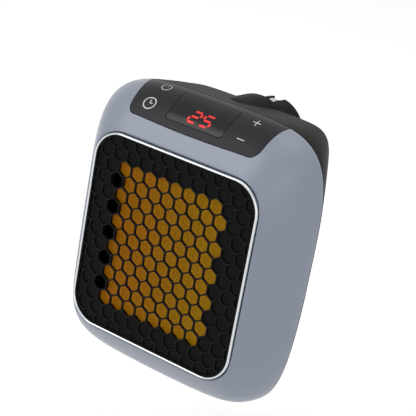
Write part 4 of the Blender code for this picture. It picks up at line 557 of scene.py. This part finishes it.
def rounded_rectangle(half_width, half_height, radius, steps):
    points = []
    for corner in range(4):
        across = 1 if corner in (0, 3) else -1
        upward = 1 if corner in (0, 1) else -1
        for step in range(steps + 1):
            angle = (corner + step / steps) * QUARTER_TURN
            points.append(
                (
                    across * (half_width - radius) + radius * math.cos(angle),
                    upward * (half_height - radius) + radius * math.sin(angle),
                )
            )
    return points


def prism(name, outline, low, high, level=False):
    """An outline thickened along Y, or along Z where level."""
    ends = []
    for place in (low, high):
        corners = [(a, b, place) if level else (a, place, b) for a, b in outline]
        ends.append([Vector(corner) for corner in corners])
    return through_rings(name, ends)


# ---- the outer skin's surface ----


def skin_angles():
    """Angles round the skin's centre, closer together at its corners."""
    angles = []
    for quadrant in range(4):
        for step in range(QUADRANT_STEPS):
            share = step / QUADRANT_STEPS
            crowding = CORNER_CROWDING_SHARE * math.sin(FULL_TURN * share) / FULL_TURN
            angles.append((quadrant + share + crowding) * QUARTER_TURN)
    return angles


def section_point(section, angle):
    """Where a ray from the skin's centre meets a section, as (x, z)."""
    across = math.cos(angle)
    upward = math.sin(angle)
    above = upward >= 0
    height = section.top - SKIN_CENTRE_Z if above else SKIN_CENTRE_Z - section.bottom
    power = section.top_power if above else section.bottom_power
    reach = abs(across / section.half_width) ** power + abs(upward / height) ** power
    radius = reach ** (-1 / power)
    x = radius * across
    z = radius * upward
    aside = x / section.half_width
    rise = z / height
    bow = section.top_bow if above else section.bottom_bow
    lean = 0 if above else section.side_bow
    return x - lean * rise * rise * aside, SKIN_CENTRE_Z + z - bow * aside * aside * rise


def front_section(share):
    """The skin's section at a share of the way from the lip to the seam."""
    side = 1 - (1 - share) ** SIDE_SWELL
    top = 1 - (1 - share) ** TOP_SWELL
    bottom = 1 - (1 - share) ** BOTTOM_SWELL
    return Section(
        half_width=between(LIP.half_width, SEAM.half_width, side),
        top=between(LIP.top, SEAM.top, top),
        bottom=between(LIP.bottom, SEAM.bottom, bottom),
        top_power=between(LIP.top_power, SEAM.top_power, side),
        bottom_power=between(LIP.bottom_power, SEAM.bottom_power, side),
        top_bow=SEAM.top_bow * side,
        bottom_bow=SEAM.bottom_bow * side,
        side_bow=SEAM.side_bow * side,
    )


def rear_section(depth):
    share = (depth - COVER_FRONT) / (REAR_DEPTH - COVER_FRONT)
    return Section(*(between(first, last, share) for first, last in zip(SEAM, REAR)))


def front_point(share, angle):
    x, z = section_point(front_section(share), angle)
    return Vector((x, between(LIP_DEPTH, SEAM_DEPTH, share), z))


def front_normal(share, angle):
    later = min(share + SKIN_STEP_SHARE, 1)
    sooner = max(share - SKIN_STEP_SHARE, 0)
    along = front_point(later, angle) - front_point(sooner, angle)
    right = front_point(share, angle + SKIN_STEP_SHARE)
    across = right - front_point(share, angle - SKIN_STEP_SHARE)
    return along.cross(across).normalized()


def on_top(x, y):
    """The point of the front skin over a plan position, and the skin's normal there."""
    share = (y - LIP_DEPTH) / (SEAM_DEPTH - LIP_DEPTH)
    low, high = TOP_SEARCH_MARGIN, 2 * QUARTER_TURN - TOP_SEARCH_MARGIN
    for _ in range(TOP_SEARCH_STEPS):
        middle = (low + high) / 2
        if front_point(share, middle).x > x:
            low = middle
        else:
            high = middle
    return front_point(share, middle), front_normal(share, middle)


def inset_ring(section, depth, inset, angles):
    """A section's outline at a depth, moved evenly inwards."""
    points = [Vector(section_point(section, angle)) for angle in angles]
    ring = []
    for i, point in enumerate(points):
        along = (points[(i + 1) % len(points)] - points[i - 1]).normalized()
        ring.append(Vector((point.x - along.y * inset, depth, point.y + along.x * inset)))
    return ring


def rectangle_ring(half_width, half_height, corner, depth, angles):
    """A rounded rectangle met by rays from the skin's centre, to pair with the skin's points."""
    ring = []
    for angle in angles:
        low, high = 0, 2 * half_height
        for _ in range(RING_SEARCH_STEPS):
            reach = (low + high) / 2
            x = abs(reach * math.cos(angle))
            z = abs(SKIN_CENTRE_Z + reach * math.sin(angle))
            beyond_x = x - half_width + corner
            beyond_z = z - half_height + corner
            outside = max(beyond_x, beyond_z) > corner or (
                min(beyond_x, beyond_z) > 0 and math.hypot(beyond_x, beyond_z) > corner
            )
            if outside:
                high = reach
            else:
                low = reach
        z = SKIN_CENTRE_Z + reach * math.sin(angle)
        ring.append(Vector((reach * math.cos(angle), depth, z)))
    return ring


def ring_shares(count=SKIN_RINGS):
    """Shares of the way from the lip to the seam, closer together at the lip."""
    return [(ring / count) ** SKIN_RING_POWER for ring in range(count + 1)]


def skin_band(name, wall):
    """The plain skin of the front half as a closed wall of even thickness."""
    angles = skin_angles()
    outer = [[front_point(share, angle) for angle in angles] for share in ring_shares()]
    outer.append(inset_ring(SEAM, SEAM_DEPTH, 0, angles))
    inner = [
        [front_point(share, angle) - front_normal(share, angle) * wall for angle in angles]
        for share in ring_shares(SKIN_RINGS // 2)
    ]
    inner.append(inset_ring(SEAM, SEAM_DEPTH, wall, angles))
    return through_rings(name, outer + inner[::-1], closed=True)


def panel_outline(inset=0, rear=SEAM_DEPTH + OVERRUN):
    """The panel's plan outline as (x, y)."""
    steps = PANEL_STEPS
    half_width = PANEL_HALF_WIDTH - inset
    corner = PANEL_CORNER - inset
    front = PANEL_FRONT + PANEL_FRONT_BOW + inset
    straight = half_width - corner
    points = []
    for step in range(-steps + 1, steps):
        share = step / steps
        points.append((share * straight, front - PANEL_FRONT_BOW * (1 - share * share)))
    for step in range(steps + 1):
        angle = step / steps * QUARTER_TURN
        along = corner * (1 - math.cos(angle))
        points.append((straight + corner * math.sin(angle), front + along))
    flare = PANEL_FLARE * (rear - front - corner) / (SEAM_DEPTH - front - corner)
    points.append((half_width + flare, rear))
    points.append((-half_width - flare, rear))
    for step in range(steps, -1, -1):
        angle = step / steps * QUARTER_TURN
        along = corner * (1 - math.cos(angle))
        points.append((-straight - corner * math.sin(angle), front + along))
    return points


def window_outline(inset=0):
    middle = (WINDOW_FRONT + WINDOW_REAR) / 2
    half_length = (WINDOW_REAR - WINDOW_FRONT) / 2
    outline = rounded_rectangle(
        WINDOW_HALF_WIDTH - inset, half_length - inset, WINDOW_CORNER, WINDOW_CORNER_STEPS
    )
    return [(x, y + middle) for x, y in outline]


def top_prism(name, outline):
    return prism(name, outline, TRIM_HALF_HEIGHT - OVERRUN, SEAM_TOP + OVERRUN, level=True)


# ---- front half ----


def make_shell():
    """The front shell: rebate, rounded lip, skin and inner wall in one closed sweep."""
    angles = skin_angles()
    rebate = (
        TRIM_HALF_WIDTH + CLEARANCE,
        TRIM_HALF_HEIGHT + CLEARANCE,
        TRIM_CORNER + CLEARANCE,
    )
    mouth = tuple(size - TRIM_WIDTH for size in rebate)
    rings = [
        rectangle_ring(*mouth, REBATE_DEPTH, angles),
        rectangle_ring(*rebate, REBATE_DEPTH, angles),
        rectangle_ring(*rebate, LIP_DEPTH + 2 * CLEARANCE, angles),
    ]
    lip = [front_point(0, angle) for angle in angles]
    rounding = []
    for near, far in zip(rings[-1], lip):
        x = between(near.x, far.x, LIP_ROUND_SHARE)
        y = between(near.y, far.y, LIP_ROUND_DEPTH_SHARE)
        z = between(near.z, far.z, LIP_ROUND_SHARE)
        rounding.append(Vector((x, y, z)))
    rings += [rounding, lip]
    rings += [[front_point(share, angle) for angle in angles] for share in ring_shares()[1:-1]]
    for step in range(SEAM_EDGE_STEPS + 1):
        turn = step / SEAM_EDGE_STEPS * QUARTER_TURN
        depth = SEAM_DEPTH - SEAM_EDGE * (1 - math.sin(turn))
        rings.append(inset_ring(SEAM, depth, SEAM_EDGE * (1 - math.cos(turn)), angles))
    rings.append(inset_ring(SEAM, SEAM_DEPTH, SKIN_WALL, angles))
    for share in ring_shares(SKIN_RINGS // 2)[::-1]:
        if INNER_START_SHARE < share < 1:
            normals = [front_normal(share, angle) * SKIN_WALL for angle in angles]
            outer = [front_point(share, angle) for angle in angles]
            rings.append([point - normal for point, normal in zip(outer, normals)])
    rings.append(rectangle_ring(*mouth, LEDGE_REAR, angles))
    shell = through_rings("shell_skin", rings, closed=True)
    carve(shell, top_prism("panel_place", panel_outline()))
    dress(shell, "shell_grey", ["front_shell"])


def make_panel():
    """The touch panel cut from the skin, and the smoked window let into it."""
    panel = skin_band("panel_skin", SKIN_WALL)
    outline = panel_outline(CLEARANCE, SEAM_DEPTH - SEAM_EDGE)
    carve(panel, top_prism("panel_edge", outline), "INTERSECT")
    carve(panel, top_prism("window_place", window_outline()))
    dress(panel, "panel_black", ["control_panel"])
    lens = skin_band("window_skin", LENS_THICKNESS)
    carve(lens, top_prism("window_edge", window_outline(WINDOW_CLEARANCE)), "INTERSECT")
    dress(lens, "smoked_window", ["display_lens"])


def trim_sweep(name, profile):
    """A ring swept round the trim's outline, from a profile of (inset from its edge, depth)."""
    rings = []
    for inset, depth in profile:
        size = (TRIM_HALF_WIDTH - inset, TRIM_HALF_HEIGHT - inset, TRIM_CORNER - inset)
        outline = rounded_rectangle(*size, TRIM_CORNER_STEPS)
        rings.append([Vector((x, depth, z)) for x, z in outline])
    return through_rings(name, rings, closed=True)


def make_trim():
    """The bright crown of the trim, as narrow as in the photograph."""
    half = CROWN_WIDTH / 2
    rise = CROWN_SHOULDER - TRIM_FRONT
    crown = [(0, TRIM_REAR)]
    for step in range(CROWN_STEPS + 1):
        turn = step / CROWN_STEPS * 2 * QUARTER_TURN
        crown.append((half - half * math.cos(turn), CROWN_SHOULDER - rise * math.sin(turn)))
    crown.append((CROWN_WIDTH, TRIM_REAR))
    dress(trim_sweep("trim_crown", crown), "bright_trim", ["trim_ring"])


def cells():
    """Every cell of the honeycomb as (x, z, row, column), rows from the top down."""
    found = []
    for row in range(-BORDER_CELLS, OPEN_ROWS + BORDER_CELLS):
        z = ((OPEN_ROWS - 1) / 2 - row) * ROW_PITCH
        shift = ROW_SHIFT_SHARE if row % 2 else -ROW_SHIFT_SHARE
        for column in range(-BORDER_CELLS, OPEN_COLUMNS + BORDER_CELLS):
            x = (column - (OPEN_COLUMNS - 1) / 2 + shift) * CELL_PITCH
            found.append((x, z, row, column))
    return found


def cell_ring(x, z, share, depth):
    """A hexagon with a corner at the top and its corners slightly cut."""
    radius = CELL_RADIUS * share
    corners = [Vector((math.cos(turn), math.sin(turn))) for turn in CELL_TURNS]
    ring = []
    for i, corner in enumerate(corners):
        for other in (corners[i - 1], corners[(i + 1) % 6]):
            flat = corner.lerp(other, CELL_CORNER_SHARE) * radius
            ring.append(Vector((x + flat.x, depth, z + flat.y)))
    return ring


def cell_cutter(name, places, levels):
    """Many cell-shaped cutters in one object, through rings given as (share, depth)."""
    bm = bmesh.new()
    for x, z in places:
        add_rings(bm, [cell_ring(x, z, share, depth) for share, depth in levels])
    bmesh.ops.recalc_face_normals(bm, faces=bm.faces)
    return object_from(name, bm)


def sorted_cells(rim):
    """The open cells, the blind pockets round them, and the deeper ones beside the odd rows."""
    half_width, half_height, corner = rim
    open_places = []
    shallow = []
    deep = []
    for x, z, row, column in cells():
        if 0 <= row < OPEN_ROWS and 0 <= column < OPEN_COLUMNS:
            open_places.append((x, z))
            continue
        beyond_x = max(abs(x) - half_width + corner, 0)
        beyond_z = max(abs(z) - half_height + corner, 0)
        if math.hypot(beyond_x, beyond_z) >= corner + EDGE_CELL_SHARE * CELL_PITCH:
            continue
        beside = column == -1 and 0 <= row < OPEN_ROWS and row % 2 == 1
        (deep if beside else shallow).append((x, z))
    return open_places, shallow, deep


def recess_cutter(places):
    """One block as wide as all the open cells, behind which their plate is thinner."""
    bm = bmesh.new()
    for x, z in places:
        corners = []
        for turn in CELL_TURNS:
            across = x + CELL_RADIUS * math.cos(turn)
            upward = z + CELL_RADIUS * math.sin(turn)
            corners.append(bm.verts.new((across, GRILLE_OPEN_PLATE, upward)))
        bm.faces.new(corners)
    bmesh.ops.remove_doubles(bm, verts=bm.verts, dist=WELD)
    grown = bmesh.ops.extrude_face_region(bm, geom=bm.faces, use_keep_orig=True)
    moved = [item for item in grown["geom"] if isinstance(item, bmesh.types.BMVert)]
    bmesh.ops.translate(bm, vec=(0, OVERRUN, 0), verts=moved)
    bmesh.ops.recalc_face_normals(bm, faces=bm.faces)
    return object_from("grille_recess", bm)


def make_grille():
    """The honeycomb up to the trim's crown, with blind cells round the open ones.

    The cells of one cutter must not meet, so its front share stays under 1.
    """
    inset = CROWN_WIDTH + CLEARANCE / 2
    edge = (TRIM_HALF_WIDTH - inset, TRIM_HALF_HEIGHT - inset, TRIM_CORNER - inset)
    rim = tuple(size - GRILLE_RIM for size in edge)
    open_places, shallow, deep = sorted_cells(rim)
    plate = prism("grille_plate", rounded_rectangle(*edge, TRIM_CORNER_STEPS), 0, GRILLE_PLATE)
    carve(plate, recess_cutter(open_places))
    front = [
        (OPEN_FRONT_SHARE + 2 * CHAMFER_SHARE, -CELL_CHAMFER),
        (OPEN_FRONT_SHARE, CELL_CHAMFER),
    ]
    levels = [*front, (OPEN_REAR_SHARE, GRILLE_PLATE + CLEARANCE)]
    carve(plate, cell_cutter("open_cells", open_places, levels))
    window = rounded_rectangle(*rim, TRIM_CORNER_STEPS)
    for name, places, depth in (
        ("pockets", shallow, POCKET_DEPTH),
        ("deep_pockets", deep, DEEP_POCKET_DEPTH),
    ):
        cutter = cell_cutter(name, places, [*front, (POCKET_SHARE, depth)])
        carve(cutter, prism(name + "_window", window, -OVERRUN, GRILLE_PLATE), "INTERSECT")
        carve(plate, cutter)
    dress(plate, "grille_black", ["grille"])
    # Painted shade: near-black blocks fill the back of each blind pocket, the deep ones blackest,
    # in place of the shade in the recesses
    for name, places, face, rear, finish in (
        ("shallow_pocket_shade", shallow, SHADE_BLOCK_START, POCKET_DEPTH, POCKET_SHADE_PAINT),
        ("deep_pocket_shade", deep, DEEP_SHADE_BLOCK_FRONT, DEEP_POCKET_DEPTH, DEEP_SHADE_PAINT),
    ):
        levels = [(POCKET_SHARE, face), (POCKET_SHARE, rear - SHADE_BLOCK_GAP)]
        shade_blocks = cell_cutter(name, places, levels)
        carve(shade_blocks, prism(name + "_window", window, -OVERRUN, GRILLE_PLATE), "INTERSECT")
        dress(shade_blocks, "grille_black", finish=finish)


def ribbon(path, width):
    """The outline of a strip of even width whose path turns only at right angles."""
    left = []
    right = []
    for i, here in enumerate(path):
        before = path[i - 1] if i else here
        after = path[min(i + 1, len(path) - 1)]
        aside = Vector((0, 0))
        for run in (here - before, after - here):
            along = run.normalized()
            aside += Vector((-along.y, along.x)) * width / 2
        left.append(here + aside)
        right.append(here - aside)
    return left + right[::-1]


def make_fins():
    """Each fin bank as one sheet folded at its real pitch, and the grooved bars between them."""
    for number in range(1, FIN_BANKS + 1):
        low, high = (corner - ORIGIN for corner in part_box(f"fin_bank_{number}"))
        count = round((high.z - low.z - FOLD_SHEET) / FOLD_PITCH)
        left = low.x + FOLD_SHEET / 2 - FOLD_OVERLAP
        right = high.x - FOLD_SHEET / 2 + FOLD_OVERLAP
        path = []
        for run in range(count + 1):
            z = between(low.z + FOLD_SHEET / 2, high.z - FOLD_SHEET / 2, run / count)
            ends = (left, right) if run % 2 else (right, left)
            path += [Vector((x, z)) for x in ends]
        bank = prism(f"fin_fold_{number}", ribbon(path, FOLD_SHEET), low.y, high.y)
        dress(bank, "fin_gold", [f"fin_bank_{number}"])
    for number in range(1, HEATING_BARS + 1):
        low, high = (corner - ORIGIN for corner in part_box(f"heating_bar_{number}"))
        count = round((high.z - low.z) / FOLD_PITCH)
        face = []
        for run in range(count):
            start = between(low.z, high.z, run / count)
            floor = low.y + BAR_GROOVE
            face += [(low.y, start), (low.y, start + FOLD_SHEET)]
            face += [(floor, start + FOLD_SHEET), (floor, start + FOLD_PITCH * BAR_GROOVE_SHARE)]
        face += [(low.y, high.z), (high.y, high.z), (high.y, low.z)]
        ends = [[Vector((x, y, z)) for y, z in face] for x in (low.x, high.x)]
        bar = through_rings(f"grooved_bar_{number}", ends)
        dress(bar, "bar_metal", [f"heating_bar_{number}"])


# ---- rear half ----


def turned(name, profile, x=0, z=0, closed=True):
    """A profile of (radius, depth) turned about an axis that runs along Y."""
    turns = [step / TURNED_SEGMENTS * FULL_TURN for step in range(TURNED_SEGMENTS)]
    rings = []
    for radius, depth in profile:
        circle = [(x + radius * math.cos(t), depth, z + radius * math.sin(t)) for t in turns]
        rings.append([Vector(point) for point in circle])
    return through_rings(name, rings, closed)


def turret_shoulder(radius, front):
    """The rounded front edge of the turret as (radius, depth), from its end face outwards."""
    points = []
    for step in range(EDGE_STEPS + 1):
        turn = step / EDGE_STEPS * QUARTER_TURN
        depth = front + TURRET_SHOULDER * (1 - math.cos(turn))
        points.append((radius - TURRET_SHOULDER * (1 - math.sin(turn)), depth))
    return points


def cover_rings(inside):
    """The rear cover as one sweep: inner wall, seam edge, skin, rounded edge and back."""
    angles = skin_angles()

    def ring(depth, inset):
        return inset_ring(rear_section(depth), depth, inset, angles)

    rings = [ring(inside, SKIN_WALL)]
    for step in range(COVER_RINGS - 1, -1, -1):
        rings.append(ring(between(COVER_FRONT, inside, step / COVER_RINGS), SKIN_WALL))
    for step in range(SEAM_EDGE_STEPS + 1):
        turn = step / SEAM_EDGE_STEPS * QUARTER_TURN
        depth = COVER_FRONT + SEAM_EDGE * (1 - math.sin(turn))
        rings.append(ring(depth, SEAM_EDGE * (1 - math.cos(QUARTER_TURN - turn))))
    edge_front = REAR_DEPTH - REAR_EDGE
    for step in range(1, COVER_RINGS + 1):
        rings.append(ring(between(COVER_FRONT + SEAM_EDGE, edge_front, step / COVER_RINGS), 0))
    for step in range(1, EDGE_STEPS + 1):
        turn = step / EDGE_STEPS * QUARTER_TURN
        depth = edge_front + REAR_EDGE * math.sin(turn)
        rings.append(ring(depth, REAR_EDGE * (1 - math.cos(turn))))
    return rings


def carve_slots(cover, inside):
    """Cuts the columns of air slots through the back."""
    outline = rounded_rectangle(SLOT_LENGTH / 2, SLOT_HEIGHT / 2, SLOT_HEIGHT / 2, EDGE_STEPS)
    for column in range(SLOT_COLUMNS):
        x = (column - (SLOT_COLUMNS - 1) / 2) * (SLOT_LENGTH + SLOT_BRIDGE)
        for row in range(SLOT_ROWS):
            z = (row - (SLOT_ROWS - 1) / 2) * SLOT_PITCH
            place = [(x + a, z + b) for a, b in outline]
            carve(cover, prism("slot", place, inside - OVERRUN, REAR_DEPTH + OVERRUN))


def make_wells(cover):
    """The bore of each screw well in the cover, and its tube inside."""
    seat = COVER_FRONT + WELL_FLOOR
    bore = WELL_RADIUS - WELL_WALL
    rear = REAR_DEPTH - SKIN_WALL / 2
    places = ((side * WELL_X, z) for side in (-1, 1) for z in WELL_HEIGHTS)
    for number, (x, z) in enumerate(places, 1):
        hole = [(bore, seat), (bore, REAR_DEPTH + OVERRUN)]
        carve(cover, turned("bore", hole, x, z, closed=False))
        tube = [(WELL_RADIUS, seat), (WELL_RADIUS, rear), (bore, rear), (bore, seat)]
        dress(turned(f"screw_well_{number}", tube, x, z), "cover_black", ["rear_cover"])


def make_turret():
    """The cup at the top of the back that holds the plug's flange."""
    cavity = turret_shoulder(TURRET_CAVITY_RADIUS, TURRET_FRONT + TURRET_WALL)
    profile = [
        (TURRET_WIRE_HOLE, TURRET_FRONT),
        *turret_shoulder(TURRET_RADIUS, TURRET_FRONT),
        (TURRET_RADIUS, TURRET_REAR - TURRET_EDGE),
        (TURRET_RADIUS - TURRET_EDGE, TURRET_REAR),
        (TURRET_BORE_RADIUS, TURRET_REAR),
        (TURRET_BORE_RADIUS, TURRET_BORE_FRONT),
        (TURRET_CAVITY_RADIUS, TURRET_BORE_FRONT),
        *cavity[::-1],
        (TURRET_WIRE_HOLE, TURRET_FRONT + TURRET_WALL),
    ]
    dress(turned("plug_turret", profile, z=TURRET_Z), "cover_black", ["rear_cover"])


def make_cover():
    """The rear cover as a cup with its turret, screw wells and air slots."""
    inside = REAR_DEPTH - SKIN_WALL
    cover = through_rings("cover_skin", cover_rings(inside))
    core_radius = TURRET_RADIUS - TURRET_WALL / 2
    core = [(core_radius, TURRET_FRONT), (core_radius, REAR_DEPTH + OVERRUN)]
    carve(cover, turned("turret_place", core, z=TURRET_Z, closed=False))
    carve_slots(cover, inside)
    make_wells(cover)
    dress(cover, "cover_black", ["rear_cover"])
    make_turret()


def make_plug():
    """The round plug and the ring that holds it in its turret."""
    body = [
        (PLUG_HUB_RADIUS, PLUG_HUB_FRONT),
        (PLUG_HUB_RADIUS, PLUG_SHOULDER_FRONT),
        (TURRET_CAVITY_RADIUS - CLEARANCE, PLUG_SHOULDER_FRONT),
        (TURRET_CAVITY_RADIUS - CLEARANCE, PLUG_FLANGE_FRONT),
        (TURRET_BORE_RADIUS - CLEARANCE, PLUG_FLANGE_FRONT),
        (TURRET_BORE_RADIUS - CLEARANCE, PLUG_FLANGE_REAR),
        (PLUG_NOSE_RADIUS, PLUG_FLANGE_REAR),
    ]
    for step in range(EDGE_STEPS + 1):
        turn = step / EDGE_STEPS * QUARTER_TURN
        radius = PLUG_NOSE_RADIUS - PLUG_NOSE_EDGE * (1 - math.cos(turn))
        body.append((radius, PLUG_FACE_Y - PLUG_NOSE_EDGE * (1 - math.sin(turn))))
    plug = turned("plug_nose", body, z=TURRET_Z, closed=False)
    beyond = PLUG_NOSE_RADIUS + OVERRUN
    for side in (-1, 1):
        pin = [(PIN_HOLE_RADIUS, PIN_HOLE_FRONT), (PIN_HOLE_RADIUS, PLUG_FACE_Y + OVERRUN)]
        carve(plug, turned("pin_hole", pin, side * PIN_SPACING / 2, TURRET_Z, closed=False))
        for across, floor, half in (
            (True, GUIDE_GROOVE_FLOOR, GUIDE_GROOVE_HALF),
            (False, EARTH_NOTCH_FLOOR, EARTH_NOTCH_HALF),
        ):
            near = side * floor
            far = side * beyond
            corners = [(near, -half), (far, -half), (far, half), (near, half)]
            if not across:
                corners = [(b, a) for a, b in corners]
            place = [(a, TURRET_Z + b) for a, b in corners]
            carve(plug, prism("groove", place, GROOVE_FRONT, PLUG_FACE_Y + OVERRUN))
    dress(plug, "cover_black", ["plug_body"], body="plug")
    outer = TURRET_BORE_RADIUS - CLEARANCE
    inner = PLUG_NOSE_RADIUS + CLEARANCE
    front = PLUG_FLANGE_REAR + CLEARANCE
    ring = [(outer, front), (outer, RING_REAR), (inner, RING_REAR), (inner, front)]
    dress(turned("holding_ring", ring, z=TURRET_Z), "steel", ["retaining_ring"])


# ---- printed keys and display ----


def strip(bm, path, width, place, closed=False):
    """A thin raised strip of even width along a path on the panel, given as (across, along)."""
    count = len(path)
    rings = []
    for i, point in enumerate(path):
        here = Vector(point)
        before = Vector(path[i - 1]) if i or closed else here
        after = Vector(path[(i + 1) % count]) if i + 1 < count or closed else here
        along = (after - before).normalized()
        side = Vector((-along.y, along.x)) * width / 2
        ring = []
        for offset, height in (
            (side, 0),
            (side, PRINT_HEIGHT),
            (-side, PRINT_HEIGHT),
            (-side, 0),
        ):
            surface, normal = place(*(here + offset))
            ring.append(surface + normal * height)
        rings.append(ring)
    add_rings(bm, rings, closed)


def panel_place(x, y):
    """Maps (across, along the slope) near a plan position to the panel's surface."""
    normal = on_top(x, y)[1]
    run = normal.z / math.hypot(normal.y, normal.z)

    def place(across, along):
        return on_top(x + across, y + along * run)

    return place


def arc(radius, first, last):
    turns = [between(first, last, step / ARC_STEPS) for step in range(ARC_STEPS + 1)]
    return [(radius * math.sin(turn), radius * math.cos(turn)) for turn in turns]


def make_icons():
    """The four signs printed on the panel."""
    for name, x, y, glyph in KEYS:
        place = panel_place(x, y)
        bm = bmesh.new()
        if glyph == "power":
            low, high = (POWER_RADIUS * share for share in POWER_BAR_SHARES)
            strip(bm, arc(POWER_RADIUS, POWER_GAP, FULL_TURN - POWER_GAP), KEY_LINE, place)
            strip(bm, [(0, low), (0, high)], KEY_LINE, place)
        elif glyph == "clock":
            up, across = (CLOCK_RADIUS * share for share in CLOCK_HAND_SHARES)
            face = arc(CLOCK_RADIUS, 0, FULL_TURN)[:-1]
            strip(bm, face, CLOCK_LINE, place, closed=True)
            strip(bm, [(0, up), (0, 0), (across, 0)], CLOCK_HAND_LINE, place)
        else:
            strip(bm, [(-SIGN_REACH, 0), (0, 0), (SIGN_REACH, 0)], SIGN_LINE, place)
            if glyph == "plus":
                strip(bm, [(0, SIGN_GAP), (0, SIGN_REACH)], SIGN_LINE, place)
                strip(bm, [(0, -SIGN_GAP), (0, -SIGN_REACH)], SIGN_LINE, place)
        bmesh.ops.recalc_face_normals(bm, faces=bm.faces)
        dress(object_from(name, bm), "panel_black", finish=PRINT_WHITE)


def make_digits():
    """Two seven-segment digits that read 25."""
    place = panel_place(*DIGIT_PLACE)
    bm = bmesh.new()
    for digit, left in ((TWO, -DIGIT_GAP / 2 - DIGIT_WIDTH), (FIVE, DIGIT_GAP / 2)):
        for segment in digit:
            path = []
            for across_share, up_share in SEGMENTS[segment]:
                up = (up_share - 0.5) * DIGIT_HEIGHT
                path.append((left + across_share * DIGIT_WIDTH + up * DIGIT_LEAN, up))
            middle = tuple((a + b) / 2 for a, b in zip(*path))
            strip(bm, [path[0], middle, path[1]], DIGIT_LINE, place)
    bmesh.ops.recalc_face_normals(bm, faces=bm.faces)
    dress(object_from("display_digits", bm), "display_red", finish=DIGIT_RED)


make_shell()
make_panel()
make_trim()
make_grille()
make_fins()
make_cover()
make_plug()
make_icons()
make_digits()


# ---- stage, light and camera ----


def background_rays(tree):
    """One for the rays that show the backdrop: seen direct, off a gloss or through glass."""
    path = tree.nodes.new("ShaderNodeLightPath")
    last = path.outputs["Is Camera Ray"]
    for other in ("Is Glossy Ray", "Is Transmission Ray"):
        either = tree.nodes.new("ShaderNodeMath")
        either.operation = "MAXIMUM"
        tree.links.new(last, either.inputs[0])
        tree.links.new(path.outputs[other], either.inputs[1])
        last = either.outputs[0]
    return last


def stage_material(name):
    """A pale surface that shows as plain white wherever it is seen, and still takes the shadow."""
    made = bpy.data.materials.new(name)
    made.use_nodes = True
    nodes = made.node_tree.nodes
    shader = nodes["Principled BSDF"]
    shader.inputs["Roughness"].default_value = FLOOR_ROUGHNESS
    drift = nodes.new("ShaderNodeTexNoise")
    drift.inputs["Scale"].default_value = FLOOR_DRIFT_SCALE
    tone = nodes.new("ShaderNodeValToRGB")
    levels = (FLOOR_LEVEL * FLOOR_DRIFT, FLOOR_LEVEL)
    for element, level in zip(tone.color_ramp.elements, levels):
        element.color = (level, level, level, 1)
    made.node_tree.links.new(drift.outputs["Fac"], tone.inputs["Fac"])
    made.node_tree.links.new(tone.outputs["Color"], shader.inputs["Base Color"])
    lift = nodes.new("ShaderNodeMath")
    lift.operation = "MULTIPLY"
    lift.inputs[1].default_value = FLOOR_LIFT
    made.node_tree.links.new(background_rays(made.node_tree), lift.inputs[0])
    shader.inputs["Emission Color"].default_value = (1, 1, 1, 1)
    made.node_tree.links.new(lift.outputs[0], shader.inputs["Emission Strength"])
    return made


def make_stage():
    bm = bmesh.new()
    bmesh.ops.create_grid(bm, x_segments=1, y_segments=1, size=FLOOR_SIZE)
    floor = object_from("floor", bm)
    floor.location.z = cad_low.z - FLOOR_DROP
    floor.data.materials.append(stage_material("floor_white"))


def area(name, place, size, power, aim):
    """A round area lamp that points at a place."""
    data = bpy.data.lights.new(name, "AREA")
    data.shape = "DISK"
    data.size = size
    data.energy = power
    lamp = bpy.data.objects.new(name, data)
    bpy.context.scene.collection.objects.link(lamp)
    lamp.location = place
    lamp.rotation_euler = (aim - place).to_track_quat("-Z", "Y").to_euler()


def make_light():
    world = bpy.data.worlds.new("studio")
    bpy.context.scene.world = world
    world.use_nodes = True
    nodes = world.node_tree.nodes
    links = world.node_tree.links
    background = nodes["Background"]
    background.inputs["Color"].default_value = (1, 1, 1, 1)
    background.inputs["Strength"].default_value = WORLD_LEVEL
    seen = nodes.new("ShaderNodeBackground")
    seen.inputs["Strength"].default_value = 1
    seen.inputs["Color"].default_value = (1, 1, 1, 1)
    mix = nodes.new("ShaderNodeMixShader")
    links.new(background_rays(world.node_tree), mix.inputs["Fac"])
    links.new(background.outputs["Background"], mix.inputs[1])
    links.new(seen.outputs["Background"], mix.inputs[2])
    links.new(mix.outputs["Shader"], nodes["World Output"].inputs["Surface"])
    centre = (cad_low + cad_high) / 2
    for name, offset, size, power in LAMPS:
        area(name, centre + Vector(offset), size, power, centre)


def make_camera():
    data = bpy.data.cameras.new("photograph")
    camera = bpy.data.objects.new("photograph", data)
    bpy.context.scene.collection.objects.link(camera)
    bpy.context.scene.camera = camera
    data.lens = CAMERA_LENS
    data.sensor_width = CAMERA_SENSOR
    data.clip_start = CAMERA_CLIP
    turn = (
        Matrix.Rotation(CAMERA_AZIMUTH, 4, "Z")
        @ Matrix.Rotation(QUARTER_TURN - CAMERA_ELEVATION, 4, "X")
        @ Matrix.Rotation(CAMERA_ROLL, 4, "Z")
    )
    camera.matrix_world = Matrix.Translation(ORIGIN + CAMERA_PLACE) @ turn


make_stage()
make_light()
make_camera()
bpy.context.scene.view_settings.view_transform = "Standard"
